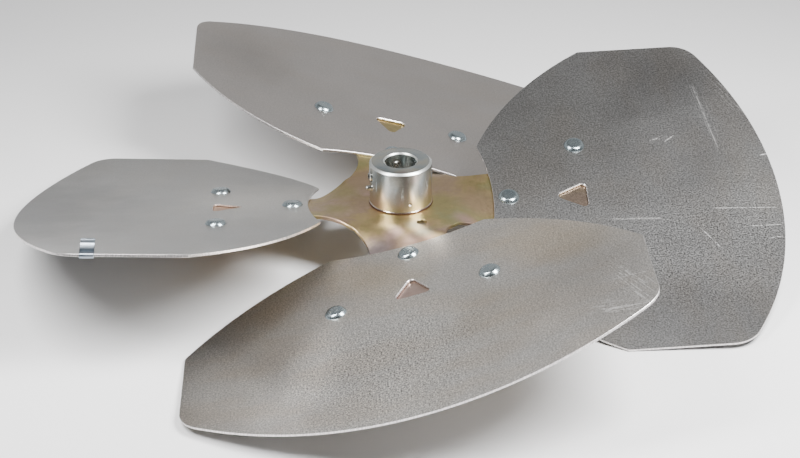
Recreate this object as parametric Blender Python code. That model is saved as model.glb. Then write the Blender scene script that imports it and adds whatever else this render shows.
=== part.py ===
"""Four-blade sheet-metal fan rotor, 24 inch, lying hub up on a level floor.

Metres, +Z up. The rotor's axis is Z, and the origin is on that axis at the floor.
A pressed steel spider carries four broad cambered blades, three rivets to a blade, and a
steel hub with two set screws is staked into its middle. A balance clip grips one blade.

Two frames are used. A blank is a flat sheet, with u out along its arm, v across it towards
the raised edge, and h up from its top face. The rotor frame is Blender's own.
"""
from math import asin, atan2, ceil, cos, hypot, pi, radians, sin, sqrt

import bmesh
import bpy
from mathutils import Matrix, Vector

# Whole rotor
FAN_RADIUS = 0.3050
ARMS = {"front": -90, "right": 0, "back": 90, "left": 180}
GAP = 0.0003

# Blade blank, cut from strip of one width
SHEET = 0.0020
STRIP_WIDTH = 0.3492
TIP_ARC = 0.3158
TIP_CORNER = 0.025
STRAIGHT_FROM = 0.1605
INNER_REACH = 0.0743
INNER_ARC = 0.2070
INNER_CORNER_V = 0.0614
FLANK_BULGE = 0.0118

# Window through each blade, a round-cornered triangle that points at the hub
WINDOW_U = 0.1409
WINDOW_REACH = 0.0142
WINDOW_CORNER = 0.0035

# Form of the pressed blade
PITCH = radians(15.8)
SINK = 0.0003
SIDE_SHIFT = 0.0010
DROOP = radians(0.43)
MID_U = 0.190
CAMBER = 0.128
CAMBER_GROWTH = 1.684
TWIST = 0.0754
EDGE_FLARE = 2.288
SKEW = -0.2725
SKEW_GROWTH = -2.893
TIP_BEND = -0.02644

# Spider
PLATE = 0.0030
ARM_END = 0.168
ARM_HALF_WIDTH = 0.0740
ARM_END_CORNER = 0.014
NOTCH_CENTRE = 0.0674
NOTCH_RADIUS = 0.0367
FLAT_TO = 0.038
TWISTED_FROM = 0.070
NECK_RATIO = 0.75
PLATE_HOLE_RADIUS = 0.0040
PLATE_HOLE_AT = 0.0406
PLATE_HOLE_ANGLES = (-69, 111)

# Rivets
RIVET_SHANK = 0.0040
RIVET_HEAD = 0.0080
RIVET_DOME = 0.0030
RIVET_TAIL = 0.0062
RIVET_TAIL_LENGTH = 0.0035
RIVET_BREAK = 0.0010
RIVETS = {"inner": (0.0866, 0.0), "low": (0.1454, -0.0592), "high": (0.1454, 0.0592)}

# Hub
HUB_RADIUS = 0.0249
HUB_HEIGHT = 0.0354
HUB_CHAMFER = 0.0015
BORE_RADIUS = 0.0127
BORE_CHAMFER = 0.0008
SPIGOT_RADIUS = 0.0190
COLLAR_RADIUS = 0.0215
COLLAR_DEPTH = 0.0018
HUB_TURN = 14
SCREW_HEIGHT = 0.0250
SCREW_RADIUS = 0.0040
SCREW_LENGTH = 0.0132
SCREW_PROUD = 0.0013
SOCKET_RADIUS = 0.0023
SOCKET_DEPTH = 0.0040
SCREWS = {"back": 90, "left": 180}
PIN_HEIGHT = 0.0152
PIN_RADIUS = 0.0020
PIN_PROUD = 0.0042
PIN_DEPTH = 0.0090
END_BREAK = 0.0006
DIMPLE_ANGLE = 270
DIMPLE_HEIGHT = 0.0081
DIMPLE_RADIUS = 0.0016
DIMPLE_DEPTH = 0.0012

# Balance clip, gripping the raised edge of the left blade
CLIP_AT_U = 0.2330
CLIP_WIDTH = 0.0104
CLIP_STEEL = 0.0009
CLIP_LOWER_LEAF = 0.0130
CLIP_TOE = 0.0045
CLIP_TILT = radians(38)
CLIP_STEPS = 4
CLIP_STEP = 0.0036
CLIP_KINK = radians(24)

# Fineness of the round shapes and of the pressed sheets
ROUND = 40
SMALL_ROUND = 14
TIP_STEPS = 20
NOTCH_STEPS = 20
FLANK_STEPS = 12
INNER_STEPS = 10
CORNER_STEPS = 7
WINDOW_STEPS = 5
FOLD_STEPS = 6
DOME_STEPS = 4
BLADE_GRID_U = 0.042
BLADE_GRID_V = 0.024
SPIDER_GRID = 0.0160
SHARP_ANGLE = radians(32)

COLOURS = {
    "blade": ((0.52, 0.51, 0.49), 0.42),
    "spider": ((0.46, 0.40, 0.22), 0.35),
    "hub": ((0.60, 0.62, 0.60), 0.22),
    "rivet": ((0.55, 0.60, 0.63), 0.25),
    "screw": ((0.50, 0.52, 0.53), 0.30),
    "clip": ((0.45, 0.50, 0.55), 0.30),
}


def clear_scene():
    """Start from an empty scene."""
    for item in list(bpy.data.objects):
        bpy.data.objects.remove(item, do_unlink=True)


def metal(name):
    """A plain metal of the part's own colour."""
    found = bpy.data.materials.get(name)
    if found:
        return found
    colour, roughness = COLOURS[name]
    made = bpy.data.materials.new(name)
    made.use_nodes = True
    shader = made.node_tree.nodes["Principled BSDF"]
    shader.inputs["Base Color"].default_value = (*colour, 1.0)
    shader.inputs["Metallic"].default_value = 1.0
    shader.inputs["Roughness"].default_value = roughness
    return made


def smoothstep(low, high, value):
    """0 below low, 1 above high, and a soft ramp between."""
    share = min(max((value - low) / (high - low), 0.0), 1.0)
    return share * share * (3.0 - 2.0 * share)


def arc(centre, radius, start, end, steps):
    """Points along an arc in the blank's plane, from one angle to another."""
    points = []
    for step in range(steps + 1):
        angle = start + (end - start) * step / steps
        points.append((centre[0] + radius * cos(angle), centre[1] + radius * sin(angle)))
    return points


def mirrored(points):
    """The same run of points on the other side of the arm's centre line, walked back."""
    return [(u, -v) for u, v in reversed(points)]


def blade_form(u, v, h):
    """Press a point of the flat blade blank: cambered, twisted, then pitched to the arm."""
    out = u - MID_U
    lift = h + (CAMBER + CAMBER_GROWTH * out) * v ** 2 + TWIST * out * v
    lift += EDGE_FLARE * v ** 4 + SKEW * v ** 3 + SKEW_GROWTH * out * v ** 3
    lift += TIP_BEND * out ** 2
    across = v - (2.0 * CAMBER) ** 2 * v ** 3 / 6.0
    side = across * cos(PITCH) - lift * sin(PITCH) + SIDE_SHIFT
    rise = across * sin(PITCH) + lift * cos(PITCH) + SINK
    return Vector((u * cos(DROOP), side, rise - u * sin(DROOP)))


def arm_form(u, v, h):
    """Press a point of the spider blank: flat round the hub, pitched under the blade."""
    flat = Vector((u, v, h))
    spread = abs(v) / u if u > 0.0 else 1.0
    share = smoothstep(FLAT_TO, TWISTED_FROM, u) * (1.0 - smoothstep(NECK_RATIO, 1.0, spread))
    return flat.lerp(blade_form(u, v, h - SHEET - GAP), share)


def blade_outline():
    """The blade's flat outline, counter-clockwise from its low inner corner."""
    half = STRIP_WIDTH / 2.0
    tip_centre = FAN_RADIUS - TIP_ARC
    corner_v = half - TIP_CORNER
    corner_u = tip_centre + sqrt((TIP_ARC - TIP_CORNER) ** 2 - corner_v ** 2)
    sweep = atan2(corner_v, corner_u - tip_centre)
    inner_centre = INNER_REACH - INNER_ARC
    inner_sweep = asin(INNER_CORNER_V / INNER_ARC)
    inner_u = inner_centre + INNER_ARC * cos(inner_sweep)
    corner = arc((corner_u, corner_v), TIP_CORNER, sweep, pi / 2.0, CORNER_STEPS)
    flank = flank_arc((STRAIGHT_FROM, half), (inner_u, INNER_CORNER_V))
    high_side = corner + flank
    tip = arc((tip_centre, 0.0), TIP_ARC, -sweep, sweep, TIP_STEPS)
    inner = arc((inner_centre, 0.0), INNER_ARC, inner_sweep, -inner_sweep, INNER_STEPS)
    return tip[:-1] + high_side + inner[1:-1] + mirrored(high_side)[:-1]


def flank_arc(start, end):
    """The bulging flank between the straight edge and the inner corner."""
    run = Vector(end) - Vector(start)
    chord = run.length
    radius = (chord ** 2 / 4.0 + FLANK_BULGE ** 2) / (2.0 * FLANK_BULGE)
    outward = Vector((run.y, -run.x)) / chord
    centre = (Vector(start) + Vector(end)) / 2.0 - outward * (radius - FLANK_BULGE)
    first = atan2(start[1] - centre.y, start[0] - centre.x)
    last = atan2(end[1] - centre.y, end[0] - centre.x)
    return arc(centre, radius, first, last, FLANK_STEPS)


def spider_outline():
    """The spider's flat outline: four flared arms with a round notch between each two.

    An arm's straight flank is the common tangent of the notch and of the arm's end corner.
    """
    corner_u = ARM_END - ARM_END_CORNER
    corner_v = ARM_HALF_WIDTH - ARM_END_CORNER
    run_u = corner_u - NOTCH_CENTRE
    run_v = corner_v - NOTCH_CENTRE
    lean = atan2(run_v, run_u) + asin((NOTCH_RADIUS + ARM_END_CORNER) / hypot(run_u, run_v))
    notch = (NOTCH_CENTRE, NOTCH_CENTRE)
    arm = arc((corner_u, -corner_v), ARM_END_CORNER, -pi / 2.0 - lean, 0.0, CORNER_STEPS)
    arm += arc((corner_u, corner_v), ARM_END_CORNER, 0.0, pi / 2.0 + lean, CORNER_STEPS)
    arm += arc(notch, NOTCH_RADIUS, lean - pi / 2.0, -pi - lean, NOTCH_STEPS)
    outline = []
    for quarter in range(4):
        turn = quarter * pi / 2.0
        outline += [(u * cos(turn) - v * sin(turn), u * sin(turn) + v * cos(turn)) for u, v in arm]
    return outline


def window_outline():
    """The round-cornered triangle that is pierced through a blade."""
    outline = []
    for corner in range(3):
        angle = pi + corner * 2.0 * pi / 3.0
        run = WINDOW_REACH - WINDOW_CORNER
        centre = (WINDOW_U + run * cos(angle), run * sin(angle))
        outline += arc(centre, WINDOW_CORNER, angle - pi / 3.0, angle + pi / 3.0, WINDOW_STEPS)
    return outline


def circle_outline(radius, at=(0.0, 0.0), steps=SMALL_ROUND):
    """A round hole's outline."""
    return arc(at, radius, 0.0, 2.0 * pi, steps)[:-1]


def new_object(name, body, material):
    """Turn a bmesh into a named object with its own material."""
    mesh = bpy.data.meshes.new(name)
    body.to_mesh(mesh)
    body.free()
    mesh.materials.append(metal(material))
    made = bpy.data.objects.new(name, mesh)
    bpy.context.collection.objects.link(made)
    return made


def finish_round(item):
    """Shade an object smooth, with its real edges kept sharp."""
    item.data.shade_smooth()
    item.data.set_sharp_from_angle(angle=SHARP_ANGLE)


def face_outwards(body):
    """Turn every face of a closed body outwards."""
    bmesh.ops.recalc_face_normals(body, faces=body.faces)
    if body.calc_volume(signed=True) < 0.0:
        bmesh.ops.reverse_faces(body, faces=body.faces)
    return body


def prism(outline, low, high):
    """A closed solid between two levels, from one flat outline."""
    body = bmesh.new()
    rim = [body.verts.new((u, v, low)) for u, v in outline]
    base = body.faces.new(rim)
    lifted = bmesh.ops.extrude_face_region(body, geom=[base])["geom"]
    top = [item for item in lifted if isinstance(item, bmesh.types.BMVert)]
    bmesh.ops.translate(body, vec=(0.0, 0.0, high - low), verts=top)
    return face_outwards(body)


def score(body, pitch_x, pitch_y, reach):
    """Cut a blank into a grid along x and y, so that it can bend when it is pressed."""
    for axis, pitch in ((Vector((1, 0, 0)), pitch_x), (Vector((0, 1, 0)), pitch_y)):
        count = ceil(reach / pitch)
        for line in range(-count, count):
            geom = body.verts[:] + body.edges[:] + body.faces[:]
            place = axis * (line + 0.5) * pitch
            bmesh.ops.bisect_plane(body, geom=geom, dist=1e-6, plane_co=place, plane_no=axis)


def pierce(item, outlines, low, high):
    """Punch holes of the given outlines through a flat blank."""
    for number, outline in enumerate(outlines):
        punch = new_object(f"{item.name}_punch_{number}", prism(outline, low, high), "screw")
        cut(item, punch)


def cut(item, tool):
    """Subtract one object from another and drop the tool."""
    modifier = item.modifiers.new("cut", "BOOLEAN")
    modifier.operation = "DIFFERENCE"
    modifier.solver = "EXACT"
    modifier.object = tool
    view = bpy.context.evaluated_depsgraph_get()
    result = bpy.data.meshes.new_from_object(item.evaluated_get(view))
    item.modifiers.clear()
    item.data = result
    bpy.data.objects.remove(tool, do_unlink=True)


def press(item, form):
    """Split a flat blank into triangles and move its points to the formed sheet."""
    body = bmesh.new()
    body.from_mesh(item.data)
    bmesh.ops.triangulate(body, faces=body.faces)
    for vertex in body.verts:
        vertex.co = form(*vertex.co)
    body.to_mesh(item.data)
    body.free()


def turned(angle_deg):
    """A turn about the rotor's axis."""
    return Matrix.Rotation(radians(angle_deg), 4, "Z")


def spider_form(x, y, h):
    """Press a spider point in the frame of the arm that it belongs to."""
    quarter = round(atan2(y, x) / (pi / 2.0)) * 90
    local = turned(-quarter) @ Vector((x, y, h))
    return turned(quarter) @ arm_form(local.x, local.y, local.z)


def rivet_holes():
    """Outlines of one arm's rivet holes, a gap wider than the shanks."""
    return [circle_outline(RIVET_SHANK + GAP, at=place) for place in RIVETS.values()]


def make_blade(name, angle, lift):
    """One blade: blank, pierced, pressed, then set round the axis."""
    body = prism(blade_outline(), -SHEET, 0.0)
    score(body, BLADE_GRID_U, BLADE_GRID_V, FAN_RADIUS)
    blade = new_object(name, body, "blade")
    pierce(blade, rivet_holes() + [window_outline()], -2.0 * SHEET, SHEET)
    press(blade, blade_form)
    blade.data.transform(Matrix.Translation((0.0, 0.0, lift)) @ turned(angle))
    finish_round(blade)


def make_spider(lift):
    """The pressed cross that carries the blades, staked round the hub."""
    body = prism(spider_outline(), -PLATE, 0.0)
    score(body, SPIDER_GRID, SPIDER_GRID, ARM_END)
    spider = new_object("spider", body, "spider")
    holes = [circle_outline(SPIGOT_RADIUS + GAP, steps=ROUND)]
    for angle in PLATE_HOLE_ANGLES:
        at = (PLATE_HOLE_AT * cos(radians(angle)), PLATE_HOLE_AT * sin(radians(angle)))
        holes.append(circle_outline(PLATE_HOLE_RADIUS, at=at))
    for angle in ARMS.values():
        for place in RIVETS.values():
            at = turned(angle) @ Vector((*place, 0.0))
            holes.append(circle_outline(RIVET_SHANK + GAP, at=(at.x, at.y)))
    pierce(spider, holes, -2.0 * PLATE, PLATE)
    press(spider, spider_form)
    spider.data.transform(Matrix.Translation((0.0, 0.0, lift)))
    finish_round(spider)


def revolve(profile, steps):
    """A closed turned body from (radius, height) points walked anti-clockwise."""
    body = bmesh.new()
    rings = []
    for step in range(steps):
        angle = 2.0 * pi * step / steps
        rings.append([body.verts.new((r * cos(angle), r * sin(angle), z)) for r, z in profile])
    for here, after in zip(rings, rings[1:] + rings[:1]):
        for low in range(len(profile)):
            high = (low + 1) % len(profile)
            body.faces.new((here[low], after[low], after[high], here[high]))
    return face_outwards(body)


def rod(radius, start, end, steps=SMALL_ROUND, chamfer=0.0):
    """A round bar along x from start to end, with its outer end broken if asked."""
    body = bmesh.new()
    stations = [(start, radius), (end - chamfer, radius)]
    if chamfer > 0.0:
        stations.append((end, radius - chamfer))
    angles = [2.0 * pi * step / steps for step in range(steps)]
    rings = []
    for place, size in stations:
        rings.append([body.verts.new((place, size * cos(a), size * sin(a))) for a in angles])
    for first, second in zip(rings, rings[1:]):
        for step in range(steps):
            after = (step + 1) % steps
            body.faces.new((first[step], first[after], second[after], second[step]))
    body.faces.new(rings[0])
    body.faces.new(rings[-1])
    return face_outwards(body)


def aim(item, angle, height):
    """Point a bar that lies along x outwards at an angle of the hub, at a height."""
    item.data.transform(Matrix.Translation((0.0, 0.0, height)) @ turned(angle))
    return item


def make_hub(lift):
    """The turned hub: nose, bore, spigot through the spider and staked collar."""
    foot = -PLATE - GAP - COLLAR_DEPTH
    profile = [
        (BORE_RADIUS + BORE_CHAMFER, foot),
        (COLLAR_RADIUS - HUB_CHAMFER / 2.0, foot),
        (COLLAR_RADIUS, foot + HUB_CHAMFER / 2.0),
        (COLLAR_RADIUS, -PLATE - GAP),
        (SPIGOT_RADIUS, -PLATE - GAP),
        (SPIGOT_RADIUS, GAP),
        (HUB_RADIUS, GAP),
        (HUB_RADIUS, HUB_HEIGHT - HUB_CHAMFER),
        (HUB_RADIUS - HUB_CHAMFER, HUB_HEIGHT),
        (BORE_RADIUS + BORE_CHAMFER, HUB_HEIGHT),
        (BORE_RADIUS, HUB_HEIGHT - BORE_CHAMFER),
        (BORE_RADIUS, foot + BORE_CHAMFER),
    ]
    hub = new_object("hub", revolve(profile, ROUND), "hub")
    for angle in SCREWS.values():
        drill(hub, SCREW_RADIUS + GAP, 0.0, angle, SCREW_HEIGHT)
    drill(hub, PIN_RADIUS + GAP, HUB_RADIUS - PIN_DEPTH - GAP, SCREWS["left"], PIN_HEIGHT)
    drill(hub, DIMPLE_RADIUS, HUB_RADIUS - DIMPLE_DEPTH, DIMPLE_ANGLE, DIMPLE_HEIGHT)
    hub.data.transform(Matrix.Translation((0.0, 0.0, lift)))
    finish_round(hub)


def drill(hub, radius, floor, angle, height):
    """Drill the hub's wall from outside in to a distance from the axis."""
    bit = new_object("bit", rod(radius, floor, 2.0 * HUB_RADIUS), "screw")
    cut(hub, aim(bit, angle + HUB_TURN, height))


def make_set_screw(side, angle, lift):
    """A socket set screw, its tip just short of the bore and its end a little proud."""
    outer = HUB_RADIUS + SCREW_PROUD
    shank = rod(SCREW_RADIUS, outer - SCREW_LENGTH, outer, chamfer=END_BREAK)
    hexagon = rod(SOCKET_RADIUS, outer - SOCKET_DEPTH, outer + SOCKET_DEPTH, steps=6)
    screw = new_object(f"set_screw_{side}", shank, "screw")
    cut(screw, new_object("socket", hexagon, "screw"))
    aim(screw, angle + HUB_TURN, lift + SCREW_HEIGHT)
    finish_round(screw)


def make_lock_pin(lift):
    """The small pin that stands out of the hub under the left set screw."""
    body = rod(PIN_RADIUS, HUB_RADIUS - PIN_DEPTH, HUB_RADIUS + PIN_PROUD, chamfer=END_BREAK)
    pin = new_object("lock_pin", body, "screw")
    aim(pin, SCREWS["left"] + HUB_TURN, lift + PIN_HEIGHT)
    finish_round(pin)


def sheet_frame(u, v):
    """The pressed blade's top face at a point: its place and its across, along and up."""
    step = 0.001
    here = blade_form(u, v, 0.0)
    along = (blade_form(u + step, v, 0.0) - here).normalized()
    across = (blade_form(u, v + step, 0.0) - here).normalized()
    up = along.cross(across).normalized()
    across = up.cross(along)
    return Matrix.Translation(here) @ Matrix((along, across, up)).transposed().to_4x4()


def make_rivet(name, angle, place, lift):
    """A low-domed rivet through blade and arm, with its closed head underneath."""
    stack = SHEET + GAP + PLATE
    tail = -stack - GAP
    foot = tail - RIVET_TAIL_LENGTH
    profile = [(0.0, foot), (RIVET_TAIL - RIVET_BREAK, foot), (RIVET_TAIL, foot + RIVET_BREAK)]
    profile += [(RIVET_TAIL, tail), (RIVET_SHANK, tail), (RIVET_SHANK, GAP), (RIVET_HEAD, GAP)]
    for step in range(1, DOME_STEPS):
        slope = pi / 2.0 * step / DOME_STEPS
        profile.append((RIVET_HEAD * cos(slope), GAP + RIVET_DOME * sin(slope)))
    body = spin_closed(profile + [(0.0, GAP + RIVET_DOME)], SMALL_ROUND)
    rivet = new_object(name, body, "rivet")
    rivet.data.transform(Matrix.Translation((0.0, 0.0, lift)) @ turned(angle) @ sheet_frame(*place))
    finish_round(rivet)


def spin_closed(profile, steps):
    """A solid turned body whose profile starts and ends on the axis."""
    body = bmesh.new()
    bottom = body.verts.new((0.0, 0.0, profile[0][1]))
    top = body.verts.new((0.0, 0.0, profile[-1][1]))
    rings = []
    for step in range(steps):
        angle = 2.0 * pi * step / steps
        rings.append([body.verts.new((r * cos(angle), r * sin(angle), z)) for r, z in profile[1:-1]])
    for here, after in zip(rings, rings[1:] + rings[:1]):
        body.faces.new((bottom, after[0], here[0]))
        for low in range(len(here) - 1):
            body.faces.new((here[low], after[low], after[low + 1], here[low + 1]))
        body.faces.new((here[-1], after[-1], top))
    return face_outwards(body)


def clip_profile():
    """The clip's centre line across the blade's edge, from under leaf to raised toe."""
    half = CLIP_STEEL / 2.0
    under = -SHEET - GAP - half
    over = GAP + half
    bend = (over - under) / 2.0
    path = [(-CLIP_LOWER_LEAF, under), (0.0, under)]
    for step in range(1, FOLD_STEPS):
        angle = -pi / 2.0 + pi * step / FOLD_STEPS
        path.append((bend * cos(angle), under + bend + bend * sin(angle)))
    path += [(0.0, over), (-CLIP_TOE, over)]
    across, rise = path[-1]
    for step in range(CLIP_STEPS):
        tilt = CLIP_TILT + (CLIP_KINK if step % 2 == 0 else -CLIP_KINK)
        across -= CLIP_STEP * cos(tilt)
        rise += CLIP_STEP * sin(tilt)
        path.append((across, rise))
    return path


def ribbon(path, thick):
    """A closed outline of even thickness round a centre line."""
    left, right = [], []
    for index, (x, y) in enumerate(path):
        before = path[max(index - 1, 0)]
        after = path[min(index + 1, len(path) - 1)]
        run_x, run_y = after[0] - before[0], after[1] - before[1]
        length = hypot(run_x, run_y)
        side = (-run_y / length * thick / 2.0, run_x / length * thick / 2.0)
        left.append((x + side[0], y + side[1]))
        right.append((x - side[0], y - side[1]))
    return left + list(reversed(right))


def make_clip(lift):
    """The balance clip, bent round the raised edge of the left blade."""
    edge = STRIP_WIDTH / 2.0
    body = prism(ribbon(clip_profile(), CLIP_STEEL), -CLIP_WIDTH / 2.0, CLIP_WIDTH / 2.0)
    for vertex in body.verts:
        across, rise, along = vertex.co
        vertex.co = (along, across + GAP, rise)
    clip = new_object("balance_clip", face_outwards(body), "clip")
    seat = turned(ARMS["left"]) @ sheet_frame(CLIP_AT_U, edge)
    clip.data.transform(Matrix.Translation((0.0, 0.0, lift)) @ seat)
    finish_round(clip)


def drop_to_floor():
    """How far the blades' low edges hang under the spider's top face."""
    lowest = min(blade_form(u, v, -SHEET).z for u, v in blade_outline())
    return -lowest


clear_scene()
hub_lift = drop_to_floor()
make_spider(hub_lift)
make_hub(hub_lift)
make_lock_pin(hub_lift)
make_clip(hub_lift)
for screw_side, screw_angle in SCREWS.items():
    make_set_screw(screw_side, screw_angle, hub_lift)
for arm, arm_angle in ARMS.items():
    make_blade(f"blade_{arm}", arm_angle, hub_lift)
    for seat_name, seat_place in RIVETS.items():
        make_rivet(f"rivet_{arm}_{seat_name}", arm_angle, seat_place, hub_lift)
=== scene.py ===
# %% [markdown]
# # A four-blade sheet-metal fan rotor, dressed for the camera
#
# The real object is the rotor of a propeller fan, about 610 mm across, that lies hub up on a
# pale studio floor. Four cambered aluminium blades are riveted to a pressed steel spider with
# a yellow zinc finish, and a turned hub with two set screws is staked into the spider.
#
# The frame that is loaded here holds the plain solids of every piece at their real size. This
# script makes a finer piece over each of them, gives it its finish, and lights the whole.

import math

import bmesh
import bpy
from mathutils import Matrix, Vector
from mathutils.geometry import delaunay_2d_cdt


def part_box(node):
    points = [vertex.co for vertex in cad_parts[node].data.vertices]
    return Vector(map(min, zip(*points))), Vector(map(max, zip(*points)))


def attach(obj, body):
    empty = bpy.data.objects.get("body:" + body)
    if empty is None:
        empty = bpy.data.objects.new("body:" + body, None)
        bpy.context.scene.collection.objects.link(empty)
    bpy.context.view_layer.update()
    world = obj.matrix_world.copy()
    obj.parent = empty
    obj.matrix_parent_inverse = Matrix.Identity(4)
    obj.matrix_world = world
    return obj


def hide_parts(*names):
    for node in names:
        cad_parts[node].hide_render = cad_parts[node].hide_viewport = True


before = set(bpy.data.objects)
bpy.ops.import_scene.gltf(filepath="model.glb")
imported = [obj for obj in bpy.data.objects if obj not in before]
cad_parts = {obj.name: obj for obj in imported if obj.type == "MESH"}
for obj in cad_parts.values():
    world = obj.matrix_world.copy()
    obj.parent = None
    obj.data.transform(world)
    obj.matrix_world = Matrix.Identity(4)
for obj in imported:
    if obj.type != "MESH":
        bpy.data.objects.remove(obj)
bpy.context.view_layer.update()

# %% [markdown]
# ## Sizes that everything shares
#
# A pressed sheet is easiest to describe twice. First as a flat blank, with u running out
# along the arm, v across the blade towards its raised edge, and h up from the top face. Then
# as a rule that says where each point of the blank ends up in the press. All sizes are in
# metres. The few that the solids can tell are read from them.

# %% Driving sizes
FAN_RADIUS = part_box("blade_right")[1].x
HUB_LOW, HUB_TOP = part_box("hub")
HUB_RADIUS = HUB_TOP.x
HUB_HEIGHT = 0.0354
PLATE_TOP = HUB_TOP.z - HUB_HEIGHT
ARMS = {"front": -90, "right": 0, "back": 90, "left": 180}
SHEET = 0.0020
PLATE = 0.0030
GAP = 0.0003
print("fan radius", round(FAN_RADIUS, 4), "spider top at", round(PLATE_TOP, 4))

# %% The numbers of the blade's form
FORM = {
    "Pitch": math.radians(15.8),
    "Droop": math.radians(0.43),
    "Middle": 0.190,
    "Camber": 0.128,
    "Camber growth": 1.684,
    "Twist": 0.0754,
    "Edge flare": 2.288,
    "Skew": -0.2725,
    "Skew growth": -2.893,
    "Tip bend": -0.02644,
    "Side shift": 0.0010,
    "Sink": 0.0003,
}

# %% [markdown]
# ## One rule, used twice
#
# The blade's form is a formula. It is needed as plain numbers, to seat rivets and the clip,
# and it is needed inside Geometry Nodes, to press the blank. Writing it twice invites
# mistakes, so a small class stands for a wire in a node tree: adding or multiplying two wires
# adds a Math node. The same Python function then gives a number when it is fed numbers, and
# a piece of node tree when it is fed wires.


# %% A wire that adds Math nodes
class Wire:
    """A number inside a node tree."""

    def __init__(self, tree, socket):
        self.tree = tree
        self.socket = socket

    def math(self, operation, *others):
        """Feed this wire and up to two more values to a Math node."""
        made = self.tree.nodes.new("ShaderNodeMath")
        made.operation = operation
        for place, value in zip(made.inputs, (self, *others)):
            plug(self.tree, value, place)
        return Wire(self.tree, made.outputs[0])

    def __add__(self, other):
        return self.math("ADD", other)

    def __sub__(self, other):
        return self.math("SUBTRACT", other)

    def __mul__(self, other):
        return self.math("MULTIPLY", other)

    def __truediv__(self, other):
        return self.math("DIVIDE", other)

    def __pow__(self, other):
        return self.math("POWER", other)

    def __rsub__(self, other):
        return self.math("MULTIPLY", -1.0) + other

    __rmul__ = __mul__


def plug(tree, value, place):
    """Link a wire or a socket into an input, or set a plain value on it."""
    if isinstance(value, Wire):
        value = value.socket
    if isinstance(value, bpy.types.NodeSocket):
        tree.links.new(value, place)
    else:
        place.default_value = value


def cosine(angle):
    """The cosine of a number or of a wire."""
    return angle.math("COSINE") if isinstance(angle, Wire) else math.cos(angle)


def sine(angle):
    """The sine of a number or of a wire."""
    return angle.math("SINE") if isinstance(angle, Wire) else math.sin(angle)


# %% The blade's form
def blade_form(u, v, h, form=FORM):
    """Where a point of the flat blade blank ends up: camber and twist, then pitch and droop.

    The term in v**3 pulls the edges in, because a bent sheet keeps its length.
    """
    out = u - form["Middle"]
    lift = (form["Camber"] + form["Camber growth"] * out) * v**2 + form["Twist"] * out * v
    lift = lift + form["Edge flare"] * v**4 + form["Skew"] * v**3
    lift = lift + form["Skew growth"] * out * v**3 + form["Tip bend"] * out**2 + h
    across = v - 4.0 / 6.0 * form["Camber"] ** 2 * v**3
    side = across * cosine(form["Pitch"]) - lift * sine(form["Pitch"]) + form["Side shift"]
    rise = across * sine(form["Pitch"]) + lift * cosine(form["Pitch"]) + form["Sink"]
    return u * cosine(form["Droop"]), side, rise - u * sine(form["Droop"])


print("tip of the raised edge", [round(c, 4) for c in blade_form(0.27, 0.1746, 0.0)])

# %% [markdown]
# ## Flat blanks
#
# A press shop cuts the blade from strip and pierces it while it is still flat, so the blank
# is made flat here too. An n-gon bends badly, and a boolean leaves long thin triangles, so
# the blank's face is filled with an even field of points, and a constrained Delaunay
# triangulation joins them to the outline and to the holes. The sheared rim gets a small
# break at the top and the bottom, because a sheet edge with no break at all looks drawn.

# %% Sizes of the blade's blank
STRIP = 0.3492
TIP_ARC, TIP_CORNER = 0.3158, 0.025
INNER_REACH, INNER_ARC, INNER_CORNER_V = 0.0743, 0.2070, 0.0614
STRAIGHT_FROM, FLANK_BULGE = 0.1605, 0.0118
WINDOW_AT, WINDOW_CORNERS_OUT, WINDOW_CORNER = 0.1409, 0.0107, 0.0035
RIVETS = {"inner": (0.0866, 0.0), "low": (0.1454, -0.0592), "high": (0.1454, 0.0592)}
SHANK = 0.0040
print("strip width", STRIP, "rivets", RIVETS)


# %% Outlines
def arc(centre, radius, start, end, steps):
    """Points along an arc, from one angle to another."""
    turns = [start + (end - start) * step / steps for step in range(steps + 1)]
    return [(centre[0] + radius * math.cos(t), centre[1] + radius * math.sin(t)) for t in turns]


def circle(centre, radius, steps):
    """A round hole's outline."""
    return arc(centre, radius, 0.0, 2.0 * math.pi, steps)[:-1]


def blade_outline():
    """The blade's flat outline, anticlockwise: tip arc, corner, straight edge, flank, inner arc."""
    half = STRIP / 2.0
    tip_centre = FAN_RADIUS - TIP_ARC
    corner_v = half - TIP_CORNER
    corner_u = tip_centre + math.sqrt((TIP_ARC - TIP_CORNER) ** 2 - corner_v**2)
    sweep = math.atan2(corner_v, corner_u - tip_centre)
    inner_centre = INNER_REACH - INNER_ARC
    inner_sweep = math.asin(INNER_CORNER_V / INNER_ARC)
    inner_u = inner_centre + INNER_ARC * math.cos(inner_sweep)
    start, end = (STRAIGHT_FROM, half), (inner_u, INNER_CORNER_V)
    high = arc((corner_u, corner_v), TIP_CORNER, sweep, math.pi / 2.0, 9)
    straight = high[-1][0] - start[0]
    high += [(high[-1][0] - straight * step / 12, half) for step in range(1, 12)]
    high += bulged(start, end, FLANK_BULGE, 30)
    low = [(u, -v) for u, v in reversed(high)]
    tip = arc((tip_centre, 0.0), TIP_ARC, -sweep, sweep, 64)
    inner = arc((inner_centre, 0.0), INNER_ARC, inner_sweep, -inner_sweep, 24)
    return tip[:-1] + high + inner[1:-1] + low[:-1]


def bulged(start, end, bulge, steps):
    """An arc between two points that bulges to the right of the run by the given height."""
    run = Vector(end) - Vector(start)
    radius = (run.length**2 / 4.0 + bulge**2) / (2.0 * bulge)
    outward = Vector((run.y, -run.x)) / run.length
    centre = (Vector(start) + Vector(end)) / 2.0 - outward * (radius - bulge)
    first = math.atan2(start[1] - centre.y, start[0] - centre.x)
    last = math.atan2(end[1] - centre.y, end[0] - centre.x)
    return arc(centre, radius, first, last, steps)


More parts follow.
